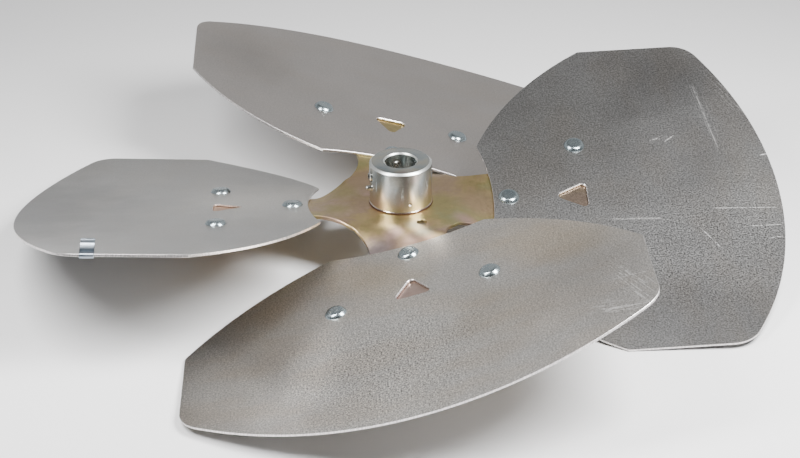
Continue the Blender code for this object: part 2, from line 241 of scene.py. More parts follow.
def window_outline():
    """The round-cornered triangle pierced through each blade, pointing at the hub."""
    outline = []
    third = math.pi / 3.0
    for corner in range(3):
        angle = math.pi + corner * 2.0 * math.pi / 3.0
        across = WINDOW_CORNERS_OUT * math.sin(angle)
        centre = (WINDOW_AT + WINDOW_CORNERS_OUT * math.cos(angle), across)
        outline += arc(centre, WINDOW_CORNER, angle - third, angle + third, 8)
    return outline


print("blade outline has", len(blade_outline()), "points")


# %% Tools for filling an outline
def grown(loop, by):
    """The same closed loop moved outwards by a small amount; inwards if it is negative."""
    moved = []
    for index, here in enumerate(loop):
        before, after = Vector(loop[index - 1]), Vector(loop[(index + 1) % len(loop)])
        run = (after - before).normalized()
        moved.append((here[0] + run.y * by, here[1] - run.x * by))
    return moved


def inside(point, loop):
    """Whether a point lies inside a closed loop, by counting crossings."""
    x, y = point
    odd = False
    for index, (x1, y1) in enumerate(loop):
        x0, y0 = loop[index - 1]
        if (y0 > y) != (y1 > y) and x < (x1 - x0) * (y - y0) / (y1 - y0) + x0:
            odd = not odd
    return odd


def filled(outline, holes, pitch):
    """Triangles over an outline with holes, with a field of points inside it."""
    loops = [outline] + holes
    points, edges = [], []
    for loop in loops:
        first = len(points)
        points += [Vector(p) for p in loop]
        edges += [(first + i, first + (i + 1) % len(loop)) for i in range(len(loop))]
    safe = grown(outline, -0.35 * pitch)
    keep_off = [grown(hole, 0.30 * pitch) for hole in holes]
    reach = max(max(abs(x), abs(y)) for x, y in outline)
    count = math.ceil(reach / pitch)
    for row in range(-count, count + 1):
        for column in range(-count, count + 1):
            spot = ((column + 0.5 * (row % 2)) * pitch, row * pitch * 0.866)
            if inside(spot, safe) and not any(inside(spot, hole) for hole in keep_off):
                points.append(Vector(spot))
    found, _, faces, *_ = delaunay_2d_cdt(points, edges, [], 0, 1e-7)
    kept = []
    for face in faces:
        middle = sum((found[i] for i in face), Vector((0.0, 0.0))) / len(face)
        if inside(middle, outline) and not any(inside(middle, hole) for hole in holes):
            kept.append(list(face))
    return [tuple(p) for p in found], kept


# %% A flat blank of sheet
def flat_blank(name, outline, holes, thick, pitch, rim_break, hole_break):
    """A closed flat sheet from h = -thick to 0, whose sheared faces carry the mark 'sheared'.

    The pitch is the spacing of the points inside it. The breaks are the small chamfers that
    the rim and the holes get at the top and at the bottom.
    """
    shell = grown(outline, -rim_break)
    mouths = [grown(hole, hole_break) for hole in holes]
    points, faces = filled(shell, mouths, pitch)
    body = bmesh.new()
    sheared = body.faces.layers.bool.new("sheared")
    top = [body.verts.new((x, y, 0.0)) for x, y in points]
    base = [body.verts.new((x, y, -thick)) for x, y in points]
    for face in faces:
        body.faces.new([top[i] for i in face])
        body.faces.new([base[i] for i in reversed(face)])
    at = 0
    rims = [(outline, 1, rim_break)]
    rims += [(hole, -1, hole_break) for hole in holes]
    for full, sense, lost in rims:
        size = len(full)
        rings = [top[at : at + size]]
        for level in (-lost, lost - thick):
            rings.append([body.verts.new((x, y, level)) for x, y in full])
        rings.append(base[at : at + size])
        for upper, lower in zip(rings, rings[1:]):
            for here in range(size):
                after = (here + sense) % size
                made = body.faces.new((upper[after], upper[here], lower[here], lower[after]))
                made[sheared] = True
        at += size
    mesh = bpy.data.meshes.new(name)
    body.to_mesh(mesh)
    body.free()
    return mesh


# %% Cut the blade blank
BLADE_FIELD = 0.0062
BLADE_RIM_BREAK, BLADE_HOLE_BREAK = 0.00020, 0.00045
blade_holes = [circle(place, SHANK + GAP, 20) for place in RIVETS.values()] + [window_outline()]
blade_blank = flat_blank(
    "blade_blank",
    blade_outline(),
    blade_holes,
    SHEET,
    BLADE_FIELD,
    BLADE_RIM_BREAK,
    BLADE_HOLE_BREAK,
)
print("blade blank has", len(blade_blank.polygons), "faces")

# %% [markdown]
# ## Finishes
#
# Every finish is a Principled shader. In nearly all of them the colour, the roughness and the
# grain come from procedural textures; only the chamfers and the small teeth painted dark as
# painted shade are plain.
# The blades are pressed from a flat sheet, so their pattern has to be laid on the flat blank:
# the press stores the flat coordinates on the mesh under the name "blank", and the finish
# reads them back. The other pieces read Object coordinates.


# %% Helpers for finishes
def new_finish(name, metallic, roughness, colour):
    """A material with a Principled shader, its tree and its shader node."""
    made = bpy.data.materials.new(name)
    made.use_nodes = True
    shader = made.node_tree.nodes["Principled BSDF"]
    shader.inputs["Metallic"].default_value = metallic
    shader.inputs["Roughness"].default_value = roughness
    shader.inputs["Base Color"].default_value = (*colour, 1.0)
    return made, made.node_tree, shader


def add_node(tree, kind, values=None, **settings):
    """Add a node, set its own settings, then plug or set its inputs by name."""
    made = tree.nodes.new(kind)
    for key, value in settings.items():
        setattr(made, key, value)
    for key, value in (values or {}).items():
        plug(tree, value, made.inputs[key])
    return made


def object_place(tree):
    """Where on the piece, in metres."""
    return add_node(tree, "ShaderNodeTexCoord").outputs["Object"]


def blank_place(tree):
    """Where on the flat blank, in metres: out along the arm, across, and up."""
    return add_node(tree, "ShaderNodeAttribute", attribute_name="blank").outputs["Vector"]


def turned_place(tree, place, centre, angle, scale):
    """Coordinates centred on a spot, turned in the sheet's plane, and scaled."""
    moved = add_node(
        tree,
        "ShaderNodeVectorMath",
        {0: place, 1: (-centre[0], -centre[1], 0.0)},
        operation="ADD",
    )
    turned = add_node(
        tree,
        "ShaderNodeVectorRotate",
        {"Vector": moved.outputs[0], "Angle": -math.radians(angle)},
        rotation_type="Z_AXIS",
    )
    sized = add_node(
        tree, "ShaderNodeVectorMath", {0: turned.outputs[0], 1: scale}, operation="MULTIPLY"
    )
    return sized.outputs[0]


def noise(tree, place, scale, detail=2.0, roughness=0.5, stretch=None, seed=0.0):
    """A noise wire; stretch multiplies the coordinates, so a small number makes it long."""
    shift = add_node(
        tree,
        "ShaderNodeVectorMath",
        {0: place, 1: stretch or (1.0, 1.0, 1.0), 2: (seed, seed * 0.7, seed * 1.3)},
        operation="MULTIPLY_ADD",
    )
    made = add_node(
        tree,
        "ShaderNodeTexNoise",
        {"Vector": shift.outputs[0], "Scale": scale, "Detail": detail, "Roughness": roughness},
    )
    return Wire(tree, made.outputs["Fac"])


def between(value, low, high, out_low=0.0, out_high=1.0, smooth=True):
    """Map a wire from one range to another, clamped at both ends."""
    made = add_node(
        value.tree,
        "ShaderNodeMapRange",
        {"Value": value, "From Min": low, "From Max": high, "To Min": out_low, "To Max": out_high},
        interpolation_type="SMOOTHSTEP" if smooth else "LINEAR",
    )
    return Wire(value.tree, made.outputs["Result"])


def blend(tree, share, first, second, mode="MIX"):
    """Mix two colours by a wire."""
    made = add_node(tree, "ShaderNodeMix", data_type="RGBA", blend_type=mode)
    plug(tree, share, made.inputs[0])
    for place, colour in ((made.inputs[6], first), (made.inputs[7], second)):
        plug(tree, (*colour, 1.0) if isinstance(colour, tuple) else colour, place)
    return made.outputs[2]


def relief(tree, shader, height, depth):
    """Fine relief from a wire, with its depth in metres."""
    bump = add_node(
        tree, "ShaderNodeBump", {"Height": height, "Distance": depth, "Strength": 1.0}
    )
    tree.links.new(bump.outputs[0], shader.inputs["Normal"])


print("finish helpers ready")

# %% [markdown]
# ### Mill-finish aluminium sheet
#
# Rolled sheet has three scales of unevenness. A pebbled grain of about a millimetre makes the
# front and the right blade look speckled, most of all in one broad area of each. Faint streaks
# run along the rolling direction. Broad clouds of warmer and cooler grey come from handling
# and from lubricant. A few wide soft patches tint the sheet further, and most of them are
# painted light and shade: lighter patches are painted reflections, warm patches near the hub
# are painted reflections of the yellow spider, and some darker patches are painted shade.
#
# On top of these lie the marks of use. A scratch is one thin broken line between two points
# of the blank. A scuff is a bundle of short thin lines in a soft oval.


# %% Marks on a sheet
def distance_from(tree, place, centre, angle, length, width):
    """A point in an oval's own frame, and its distance from the middle, where 1 is the rim."""
    local = turned_place(tree, place, centre, angle, (1.0 / length, 1.0 / width, 0.0))
    reach = add_node(tree, "ShaderNodeVectorMath", {0: local}, operation="LENGTH").outputs["Value"]
    return local, Wire(tree, reach)


def soft_patch(tree, place, centre, angle, length, width):
    """1 in the middle of a soft oval with an uneven edge, fading to 0 at its rim."""
    _, reach = distance_from(tree, place, centre, angle, length, width)
    uneven = noise(tree, place, 35.0, 2.0, 0.5) - 0.5
    return between(reach + uneven * 0.5, 0.15, 1.0, 1.0, 0.0)


def scuff(tree, place, centre, angle, length, width, seed):
    """Thin bright lines inside a soft oval: 0 for none, 1 on a line."""
    local, reach = distance_from(tree, place, centre, angle, length, width)
    patch = between(reach, 0.35, 1.0, 1.0, 0.0)
    lines = noise(tree, local, 1.0, 2.0, 0.6, (1.6, 14.0, 0.0), seed)
    broken = noise(tree, local, 1.0, 2.0, 0.6, (6.0, 11.0, 0.0), seed + 4.0)
    return patch * between(lines, 0.52, 0.64) * between(broken, 0.42, 0.56)


def scratch(tree, place, start, end, width, strength):
    """One thin line between two points of the blank, broken here and there."""
    run = Vector(end) - Vector(start)
    middle = (Vector(start) + Vector(end)) / 2.0
    angle = math.degrees(math.atan2(run.y, run.x))
    scale = (2.0 / run.length, 2.0 / width, 0.0)
    local = turned_place(tree, place, middle, angle, scale)
    along, across = add_node(tree, "ShaderNodeSeparateXYZ", {0: local}).outputs[:2]
    ends = between(Wire(tree, along).math("ABSOLUTE"), 0.7, 1.0, 1.0, 0.0)
    line = between(Wire(tree, across).math("ABSOLUTE"), 0.35, 1.0, 1.0, 0.0)
    broken = noise(tree, place, 330.0, 2.0, 0.6, None, start[0] * 90.0)
    return ends * line * between(broken, 0.36, 0.52) * strength


print("tools for stains, scuffs and scratches ready")


# %% Aluminium sheet
def grey_of(tree, wire):
    """A grey colour from one wire."""
    return add_node(tree, "ShaderNodeCombineColor", {0: wire, 1: wire, 2: wire}).outputs[0]


def fixed_wire(tree, number):
    """A wire that starts from a plain number, for other wires to be added to."""
    made = add_node(tree, "ShaderNodeValue")
    made.outputs[0].default_value = number
    return Wire(tree, made.outputs[0])


def aluminium_sheet(name, look, seed):
    """Rolled sheet with its own grain, scuffs, scratches and painted light and shade."""
    made, tree, shader = new_finish(name, 1.0, 0.40, (0.58, 0.57, 0.55))
    place = blank_place(tree)
    grain = noise(tree, place, 760.0, 1.0, 0.6, None, seed)
    fleck = noise(tree, place, 300.0, 2.0, 0.6, None, seed + 2.0)
    streak = noise(tree, place, 1.0, 3.0, 0.6, (9.0, 900.0, 1.0), seed + 3.0)
    cloud = noise(tree, place, 15.0, 3.0, 0.55, None, seed + 5.0)
    haze = noise(tree, place, 34.0, 3.0, 0.5, (1.0, 0.45, 1.0), seed + 7.0)
    colour = blend(tree, between(cloud, 0.34, 0.66), look["dull"], look["bright"])
    warm = between(haze, 0.38, 0.66) * look["warmth"]
    colour = blend(tree, warm, colour, (1.0, 0.93, 0.85), "MULTIPLY")
    # Tint patches: most are painted reflections and painted shade, laid into the colour.
    for shade, *oval in look["painted_light_and_tints"]:
        colour = blend(tree, soft_patch(tree, place, *oval), colour, shade, "MULTIPLY")
    amount = fixed_wire(tree, look["speckle"])
    for extra, *oval in look["pebbled"]:
        amount = amount + soft_patch(tree, place, *oval) * extra
    pebbles = (between(grain, 0.30, 0.70, -1.0, 1.0, False) * 0.8) + (fleck - 0.5)
    flecked = pebbles * amount + 1.0
    colour = blend(tree, 1.0, colour, grey_of(tree, flecked), "MULTIPLY")
    rubbed = fixed_wire(tree, 0.0)
    for number, (strength, *oval) in enumerate(look["scuffs"]):
        lines = scuff(tree, place, *oval, seed + 11.0 + number)
        rubbed = rubbed.math("MAXIMUM", lines * strength)
    for line in look["scratches"]:
        rubbed = rubbed.math("MAXIMUM", scratch(tree, place, *line))
    colour = blend(tree, rubbed, colour, (0.96, 0.95, 0.93))
    tree.links.new(colour, shader.inputs["Base Color"])
    rough = between(grain, 0.30, 0.70, -0.04, 0.04, False) + look["roughness"]
    rough = rough + (streak - 0.5) * 0.06 + rubbed * 0.12
    plug(tree, rough, shader.inputs["Roughness"])
    relief(tree, shader, grain * 0.7 + fleck * 0.5 + streak * 0.2 + rubbed * 0.6, 0.00008)
    return made


# %% [markdown]
# ### How each sheet differs
#
# Each blade has its own list. Its two greys are set to how light or dark that blade looks in
# this light, so part of its light and shade is painted into its colour; the right blade is
# painted darkest. Every mark starts with its strength, or with the colour that tints the sheet
# there. Then comes its oval: the spot on the blank, the turn in degrees, half the length and
# half the width. A scratch is given by its two ends, its width and its strength.

# %% The four sheets
FRONT = {
    "dull": (0.52, 0.500, 0.475),
    "bright": (0.59, 0.570, 0.545),
    "warmth": 0.55,
    "roughness": 0.35,
    "speckle": 0.34,
    "pebbled": [(0.50, (0.235, -0.030), 0, 0.110, 0.110)],
    "painted_light_and_tints": [
        # The two warm tints near the hub end are painted reflections of the yellow spider, and the
        # tints above 1 are painted reflections of the pale backdrop.
        ((0.98, 0.90, 0.78), (0.110, -0.030), 60, 0.060, 0.040),
        ((0.98, 0.91, 0.80), (0.125, 0.110), 60, 0.090, 0.045),
        ((0.96, 0.93, 0.88), (0.200, 0.060), 30, 0.060, 0.050),
        ((1.22, 1.22, 1.21), (0.215, -0.078), -10, 0.085, 0.030),
        ((1.25, 1.25, 1.24), (0.225, -0.135), 30, 0.080, 0.045),
        ((0.78, 0.77, 0.76), (0.200, 0.140), 0, 0.110, 0.075),
        ((0.90, 0.89, 0.88), (0.220, 0.060), 0, 0.070, 0.060),
    ],
    "scuffs": [
        (0.45, (0.225, 0.160), 20, 0.055, 0.016),
        (0.55, (0.250, 0.145), 70, 0.030, 0.020),
    ],
    "scratches": [
        ((0.2473, 0.1305), (0.2564, 0.1691), 0.0012, 0.6),
        ((0.2091, 0.1429), (0.2139, 0.1718), 0.0010, 0.5),
    ],
}
# The right blade's greys are painted far darker than the others': painted shade.
RIGHT = {
    "dull": (0.32, 0.315, 0.310),
    "bright": (0.37, 0.366, 0.362),
    "warmth": 0.40,
    "roughness": 0.33,
    "speckle": 0.42,
    "pebbled": [(0.45, (0.250, -0.070), 0, 0.120, 0.110)],
    "painted_light_and_tints": [
        # The darker tints are painted shade, and the tints above 1 are painted reflections.
        ((0.86, 0.86, 0.85), (0.130, 0.080), 30, 0.110, 0.090),
        ((0.78, 0.78, 0.78), (0.230, 0.130), 20, 0.090, 0.060),
        ((1.12, 1.12, 1.12), (0.212, 0.082), 10, 0.030, 0.018),
        ((1.22, 1.22, 1.21), (0.290, 0.005), 90, 0.090, 0.050),
        ((0.80, 0.80, 0.80), (0.230, -0.130), 0, 0.120, 0.060),
    ],
    "scuffs": [
        (0.30, (0.258, 0.100), 98, 0.055, 0.010),
        (0.35, (0.285, 0.110), 120, 0.045, 0.018),
        (0.45, (0.2795, -0.0315), 40, 0.012, 0.006),
        (0.45, (0.215, 0.064), 20, 0.018, 0.004),
    ],
    "scratches": [
        ((0.2521, 0.1307), (0.2638, 0.0460), 0.0016, 0.45),
        ((0.2077, 0.0615), (0.2156, 0.0647), 0.0014, 0.8),
        ((0.2198, 0.0597), (0.2292, 0.0677), 0.0016, 0.9),
        ((0.2450, -0.0190), (0.3053, -0.0197), 0.0009, 0.7),
        ((0.2727, -0.0408), (0.3017, -0.0394), 0.0010, 0.7),
        ((0.2853, -0.0551), (0.2991, -0.0532), 0.0010, 0.7),
        ((0.2955, 0.0413), (0.3032, 0.0428), 0.0016, 1.0),
        ((0.2345, -0.0406), (0.2477, -0.0653), 0.0010, 0.8),
        ((0.1644, -0.0289), (0.2090, -0.0294), 0.0024, 0.4),
    ],
}
BACK = {
    "dull": (0.450, 0.422, 0.402),
    "bright": (0.480, 0.450, 0.430),
    "warmth": 0.25,
    "roughness": 0.36,
    "speckle": 0.13,
    "pebbled": [],
    "painted_light_and_tints": [((0.84, 0.84, 0.84), (0.210, 0.130), 0, 0.080, 0.060)],
    "scuffs": [],
    "scratches": [],
}
LEFT = {
    "dull": (0.43, 0.425, 0.415),
    "bright": (0.47, 0.465, 0.455),
    "warmth": 0.20,
    "roughness": 0.35,
    "speckle": 0.16,
    "pebbled": [],
    "painted_light_and_tints": [
        # The dark tint over the outer half is painted shade, and the light one near the hub is a
        # painted reflection.
        ((0.56, 0.56, 0.57), (0.300, 0.000), 0, 0.120, 0.180),
        ((1.35, 1.34, 1.31), (0.110, -0.010), 0, 0.100, 0.090),
    ],
    "scuffs": [],
    "scratches": [],
}
sheets = {
    "front": aluminium_sheet("aluminium_front", FRONT, 3.0),
    "right": aluminium_sheet("aluminium_right", RIGHT, 17.0),
    "back": aluminium_sheet("aluminium_back", BACK, 31.0),
    "left": aluminium_sheet("aluminium_left", LEFT, 47.0),
}
print("aluminium for", ", ".join(sheets))

# %% [markdown]
# ### Sheared edges
#
# The shear leaves a bright, finely drawn rim round each blade, and its colour is set lighter
# still, so that the rim is partly a painted highlight. It is a finish of its own, put only on
# the faces that the blank marked as sheared. The spider was plated after it was cut, so its rim
# has the same fine lines in a pale yellow; that yellow is painted far lighter than the plate,
# a painted highlight along the cut edge.


# %% Sheared edge
def sheared_edge(name, colour, roughness):
    """Bright cut metal in fine lines through the thickness, partly a painted highlight."""
    made, tree, shader = new_finish(name, 1.0, roughness, colour)
    place = object_place(tree)
    lines = noise(tree, place, 900.0, 2.0, 0.6, (1.0, 1.0, 0.25))
    bright = tuple(min(1.0, c * 1.12) for c in colour)
    dull = tuple(c * 0.72 for c in colour)
    shade = blend(tree, between(lines, 0.3, 0.7), dull, bright)
    tree.links.new(shade, shader.inputs["Base Color"])
    relief(tree, shader, lines, 0.00002)
    return made


# Both rims get colours lighter than their sheets: partly bright cut metal, partly painted
# highlights.
cut_edge_and_highlight = sheared_edge("aluminium_sheared_highlight", (0.70, 0.67, 0.66), 0.36)
zinc_edge_highlight = sheared_edge("zinc_sheared_highlight", (0.86, 0.84, 0.56), 0.42)
print("edges", cut_edge_and_highlight.name, zinc_edge_highlight.name)

# %% [markdown]
# ## Pressing the blades
#
# The four blades are the same pressing, set a quarter turn apart. A Geometry Nodes tree acts
# as the press: it stores the flat coordinates, moves every point by the form rule, turns and
# lifts the blade to its arm, and paints the sheared faces. Its sizes are inputs, so one tree
# serves all four blades.


# %% Helpers for Geometry Nodes
def new_tree(name, inputs):
    """A Geometry Nodes group with named inputs; gives the tree, the inputs by name, the end."""
    tree = bpy.data.node_groups.new(name, "GeometryNodeTree")
    kinds = {float: "NodeSocketFloat", int: "NodeSocketInt"}
    tree.interface.new_socket("Geometry", in_out="INPUT", socket_type="NodeSocketGeometry")
    for label, value in inputs.items():
        kind = kinds.get(type(value), "NodeSocketMaterial")
        tree.interface.new_socket(label, in_out="INPUT", socket_type=kind)
    tree.interface.new_socket("Geometry", in_out="OUTPUT", socket_type="NodeSocketGeometry")
    start = tree.nodes.new("NodeGroupInput")
    end = tree.nodes.new("NodeGroupOutput")
    return tree, start.outputs, end.inputs[0]


def made_by(tree, name, mesh, inputs):
    """Run a tree over a mesh and keep the result as a plain object."""
    item = bpy.data.objects.new(name, mesh)
    bpy.context.collection.objects.link(item)
    modifier = item.modifiers.new("make", "NODES")
    modifier.node_group = tree
    for socket in tree.interface.items_tree:
        if socket.in_out == "INPUT" and socket.name in inputs:
            modifier[socket.identifier] = inputs[socket.name]
    view = bpy.context.evaluated_depsgraph_get()
    result = bpy.data.meshes.new_from_object(item.evaluated_get(view))
    item.modifiers.clear()
    item.data = result
    result.name = name
    return item


def softened(item, degrees=32.0):
    """Shade smooth, with real edges kept sharp."""
    item.data.shade_smooth()
    item.data.set_sharp_from_angle(angle=math.radians(degrees))
    return item


# %% The press
PRESS_INPUTS = {
    **FORM,
    "Turn": 0.0,
    "Lift": PLATE_TOP,
    "Sheet": sheets["front"],
    "Edge": cut_edge_and_highlight,
}


def press_tree():
    """Store the flat coordinates, press, turn to the arm, then finish sheet and edge."""
    tree, sockets, end = new_tree("blade_press", PRESS_INPUTS)
    position = add_node(tree, "GeometryNodeInputPosition").outputs[0]
    stored = add_node(
        tree,
        "GeometryNodeStoreNamedAttribute",
        data_type="FLOAT_VECTOR",
        domain="POINT",
    )
    tree.links.new(sockets["Geometry"], stored.inputs["Geometry"])
    stored.inputs["Name"].default_value = "blank"
    tree.links.new(position, stored.inputs["Value"])
    flat = add_node(tree, "ShaderNodeSeparateXYZ", {0: position}).outputs
    form = {label: Wire(tree, sockets[label]) for label in FORM}
    u, v, h = (Wire(tree, socket) for socket in flat)
    pressed = blade_form(u, v, h, form)
    spot = add_node(tree, "ShaderNodeCombineXYZ", dict(enumerate(pressed))).outputs[0]
    moved = add_node(
        tree, "GeometryNodeSetPosition", {"Geometry": stored.outputs[0], "Position": spot}
    )
    turn = add_node(tree, "ShaderNodeCombineXYZ", {2: sockets["Turn"]}).outputs[0]
    lift = add_node(tree, "ShaderNodeCombineXYZ", {2: sockets["Lift"]}).outputs[0]
    placed = add_node(
        tree,
        "GeometryNodeTransform",
        {"Geometry": moved.outputs[0], "Translation": lift, "Rotation": turn},
    )
    real = add_node(tree, "GeometryNodeRealizeInstances", {0: placed.outputs[0]})
    sheet = add_node(
        tree,
        "GeometryNodeSetMaterial",
        {"Geometry": real.outputs[0], "Material": sockets["Sheet"]},
    )
    sheared = add_node(
        tree, "GeometryNodeInputNamedAttribute", {"Name": "sheared"}, data_type="BOOLEAN"
    ).outputs["Attribute"]
    edge = add_node(
        tree,
        "GeometryNodeSetMaterial",
        {"Geometry": sheet.outputs[0], "Selection": sheared, "Material": sockets["Edge"]},
    )
    tree.links.new(edge.outputs[0], end)
    return tree


blade_press = press_tree()
print("the press has", len(blade_press.nodes), "nodes")

# %% Press four blades
for arm, degrees in ARMS.items():
    sizes = {**PRESS_INPUTS, "Turn": math.radians(degrees), "Sheet": sheets[arm]}
    blade = softened(made_by(blade_press, f"pressed_blade_{arm}", blade_blank, sizes))
    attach(blade, "root")
    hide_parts(f"blade_{arm}")
    print(blade.name, len(blade.data.polygons), "faces")

# %% [markdown]
# ## The spider
#
# The cross under the blades is one pressing of 3 mm steel. It is flat round the hub and
# follows the pitch of each blade further out, so the same form rule is mixed in as the arm
# leaves the hub. Its four notches are round, and each arm widens to a blunt end under its
# blade. This shape mixes two rules by place, which is clearer in Python than in nodes.


# %% The spider's outline
ARM_END, ARM_HALF, ARM_CORNER = 0.168, 0.0740, 0.014
NOTCH_CENTRE, NOTCH_RADIUS = 0.0674, 0.0367
RIM_STEP = 0.006


def spider_outline():
    """Four flared arms; straight flanks are common tangents of notch and end corner."""
    corner_u, corner_v = ARM_END - ARM_CORNER, ARM_HALF - ARM_CORNER
    run_u, run_v = corner_u - NOTCH_CENTRE, corner_v - NOTCH_CENTRE
    reach = math.hypot(run_u, run_v)
    lean = math.atan2(run_v, run_u) + math.asin((NOTCH_RADIUS + ARM_CORNER) / reach)
    quarter = math.pi / 2.0
    arm = arc((corner_u, -corner_v), ARM_CORNER, -quarter - lean, 0.0, 10)
    arm += arc((corner_u, corner_v), ARM_CORNER, 0.0, quarter + lean, 10)
    arm += arc((NOTCH_CENTRE, NOTCH_CENTRE), NOTCH_RADIUS, lean - quarter, -math.pi - lean, 40)
    outline = []
    for turn in range(4):
        c, s = math.cos(turn * quarter), math.sin(turn * quarter)
        outline += [(u * c - v * s, u * s + v * c) for u, v in arm]
    return stepped(outline, RIM_STEP)


def stepped(loop, pitch):
    """Add points along the straight runs of a loop, so that they can bend."""
    points = []
    for here, after in zip(loop, loop[1:] + loop[:1]):
        run = math.dist(here, after)
        count = max(1, round(run / pitch))
        for step in range(count):
            share = step / count
            points.append(tuple(a + (b - a) * share for a, b in zip(here, after)))
    return points


# %% The spider's form
FLAT_TO, TWISTED_FROM = 0.038, 0.070
NECK_SPREAD = 0.75


def smoothstep(low, high, value):
    """0 below low, 1 above high, and a soft ramp between."""
    share = min(max((value - low) / (high - low), 0.0), 1.0)
    return share * share * (3.0 - 2.0 * share)


def spider_form(x, y, h):
    """Flat round the hub, and under the blades the blade's own form, one gap below it."""
    quarter = round(math.atan2(y, x) / (math.pi / 2.0)) * math.pi / 2.0
    turn = Matrix.Rotation(quarter, 3, "Z")
    u, v, h = turn.inverted() @ Vector((x, y, h))
    spread = abs(v) / u if u > 0.0 else 1.0
    share = smoothstep(FLAT_TO, TWISTED_FROM, u) * (1.0 - smoothstep(NECK_SPREAD, 1.0, spread))
    formed = Vector(blade_form(u, v, h - SHEET - GAP))
    return turn @ Vector((u, v, h)).lerp(formed, share)


print("arm's end in the middle", [round(c, 4) for c in spider_form(ARM_END, 0.0, 0.0)])

# %% [markdown]
# ### Yellow zinc
#
# A yellow passivate over zinc is a thin film, so its colour drifts between olive, gold, pink
# and green, and turns bluish where it is thinnest. The drift is broad, a few centimetres from
# colour to colour. A slow noise walks along a colour ramp, and a few soft patches push it
# towards pink or olive where the plate shows them. Three patches are painted light: a bright
# rose one in front of the hub is a painted highlight, the hub's streak reflected in the plate,
# and two darker green ones at the front right are painted shade that dims the hub's reflection
# there. A patch is a colour, its spot on the plate and its radius. The last four lie under the
# windows, where the arms show through the blades; the dark one under the right window is
# painted shade.


# %% Yellow zinc
def ramp(tree, value, stops):
    """A colour ramp from (position, colour) pairs."""
    made = add_node(tree, "ShaderNodeValToRGB", {"Fac": value})
    stack = made.color_ramp.elements
    while len(stack) < len(stops):
        stack.new(0.5)
    for element, (position, colour) in zip(stack, stops):
        element.position = position
        element.color = (*colour, 1.0)
    return made.outputs["Color"]


OLIVE, OCHRE, BROWN = (0.38, 0.32, 0.14), (0.48, 0.36, 0.18), (0.42, 0.30, 0.19)
PINK, ROSE_PAINTED_HIGHLIGHT, GREEN_PAINTED_SHADE = (0.54, 0.36, 0.31), (0.76, 0.52, 0.47), (0.28, 0.27, 0.21)
MOSS = (0.36, 0.34, 0.17)
MAUVE = (0.42, 0.35, 0.36)
PLATE_PATCHES = [
    (OLIVE, (-0.044, 0.018), 0.020),
    (BROWN, (-0.030, 0.036), 0.022),
    (BROWN, (-0.031, -0.006), 0.012),
    (OLIVE, (-0.052, -0.012), 0.020),
    (MAUVE, (-0.022, -0.070), 0.022),
    (PINK, (0.006, -0.066), 0.022),
    # A painted highlight: the hub's streak reflected in the plate.
    (ROSE_PAINTED_HIGHLIGHT, (-0.008, -0.050), 0.013),
    (OCHRE, (-0.018, -0.040), 0.018),
    # Painted shade, dimming the hub's reflection in the plate at the front right.
    (GREEN_PAINTED_SHADE, (0.008, -0.042), 0.012),
    (GREEN_PAINTED_SHADE, (0.014, -0.054), 0.014),
    (OLIVE, (0.030, -0.004), 0.018),
    (BROWN, (0.034, 0.028), 0.022),
    (BROWN, (0.062, -0.002), 0.026),
    (PINK, (0.050, -0.030), 0.014),
    ((0.45, 0.33, 0.31), (0.000, -0.141), 0.040),
    # Painted shade: the arm seen through the right blade's window.
    ((0.25, 0.19, 0.17), (0.141, 0.000), 0.040),
    ((0.36, 0.29, 0.12), (0.000, 0.141), 0.040),
    ((0.58, 0.38, 0.28), (-0.141, 0.000), 0.040),
]


def yellow_zinc():
    """The spider's passivated plate, drifting in colour, with some painted light."""
    made, tree, shader = new_finish("yellow_zinc", 1.0, 0.30, OCHRE)
    place = object_place(tree)
    drift = noise(tree, place, 30.0, 4.0, 0.6, None, 2.0)
    mottle = noise(tree, place, 190.0, 3.0, 0.6, None, 6.0)
    fine = noise(tree, place, 620.0, 2.0, 0.6)
    stops = [(0.30, MOSS), (0.42, OLIVE), (0.50, OCHRE), (0.58, BROWN), (0.70, PINK)]
    colour = ramp(tree, drift, stops)
    for shade, centre, radius in PLATE_PATCHES:
        share = soft_patch(tree, place, centre, 0, radius, radius) * 0.85
        colour = blend(tree, share, colour, shade)
    mottled = between(mottle, 0.30, 0.70, 0.93, 1.07, False)
    colour = blend(tree, 1.0, colour, grey_of(tree, mottled), "MULTIPLY")
    tree.links.new(colour, shader.inputs["Base Color"])
    plug(tree, between(fine, 0.3, 0.7, 0.32, 0.40, False), shader.inputs["Roughness"])
    relief(tree, shader, fine, 0.00003)
    return made


zinc_plate = yellow_zinc()
# Dark red-brown for the serrated teeth: painted shade in the crevice at the hub's foot.
teeth_painted_shade, *_ = new_finish("painted_shade_zinc", 1.0, 0.45, (0.20, 0.11, 0.09))
print("finishes", zinc_plate.name, teeth_painted_shade.name)

# %% Pierce the spider's blank
HUB_SEAT_HOLE = 0.0193
SMALL_HOLE, SMALL_HOLE_OUT = 0.0040, 0.0406
SPIDER_FIELD = 0.0050
SPIDER_RIM_BREAK, SPIDER_HOLE_BREAK = 0.00045, 0.00020
spider_holes = [circle((0.0, 0.0), HUB_SEAT_HOLE, 72)]
for turn in (math.radians(-69), math.radians(111)):
    at = (SMALL_HOLE_OUT * math.cos(turn), SMALL_HOLE_OUT * math.sin(turn))
    spider_holes.append(circle(at, SMALL_HOLE, 28))
for degrees in ARMS.values():
    for place in RIVETS.values():
        at = Matrix.Rotation(math.radians(degrees), 2) @ Vector(place)
        spider_holes.append(circle(at, SHANK + GAP, 20))
print("holes in the spider", len(spider_holes))

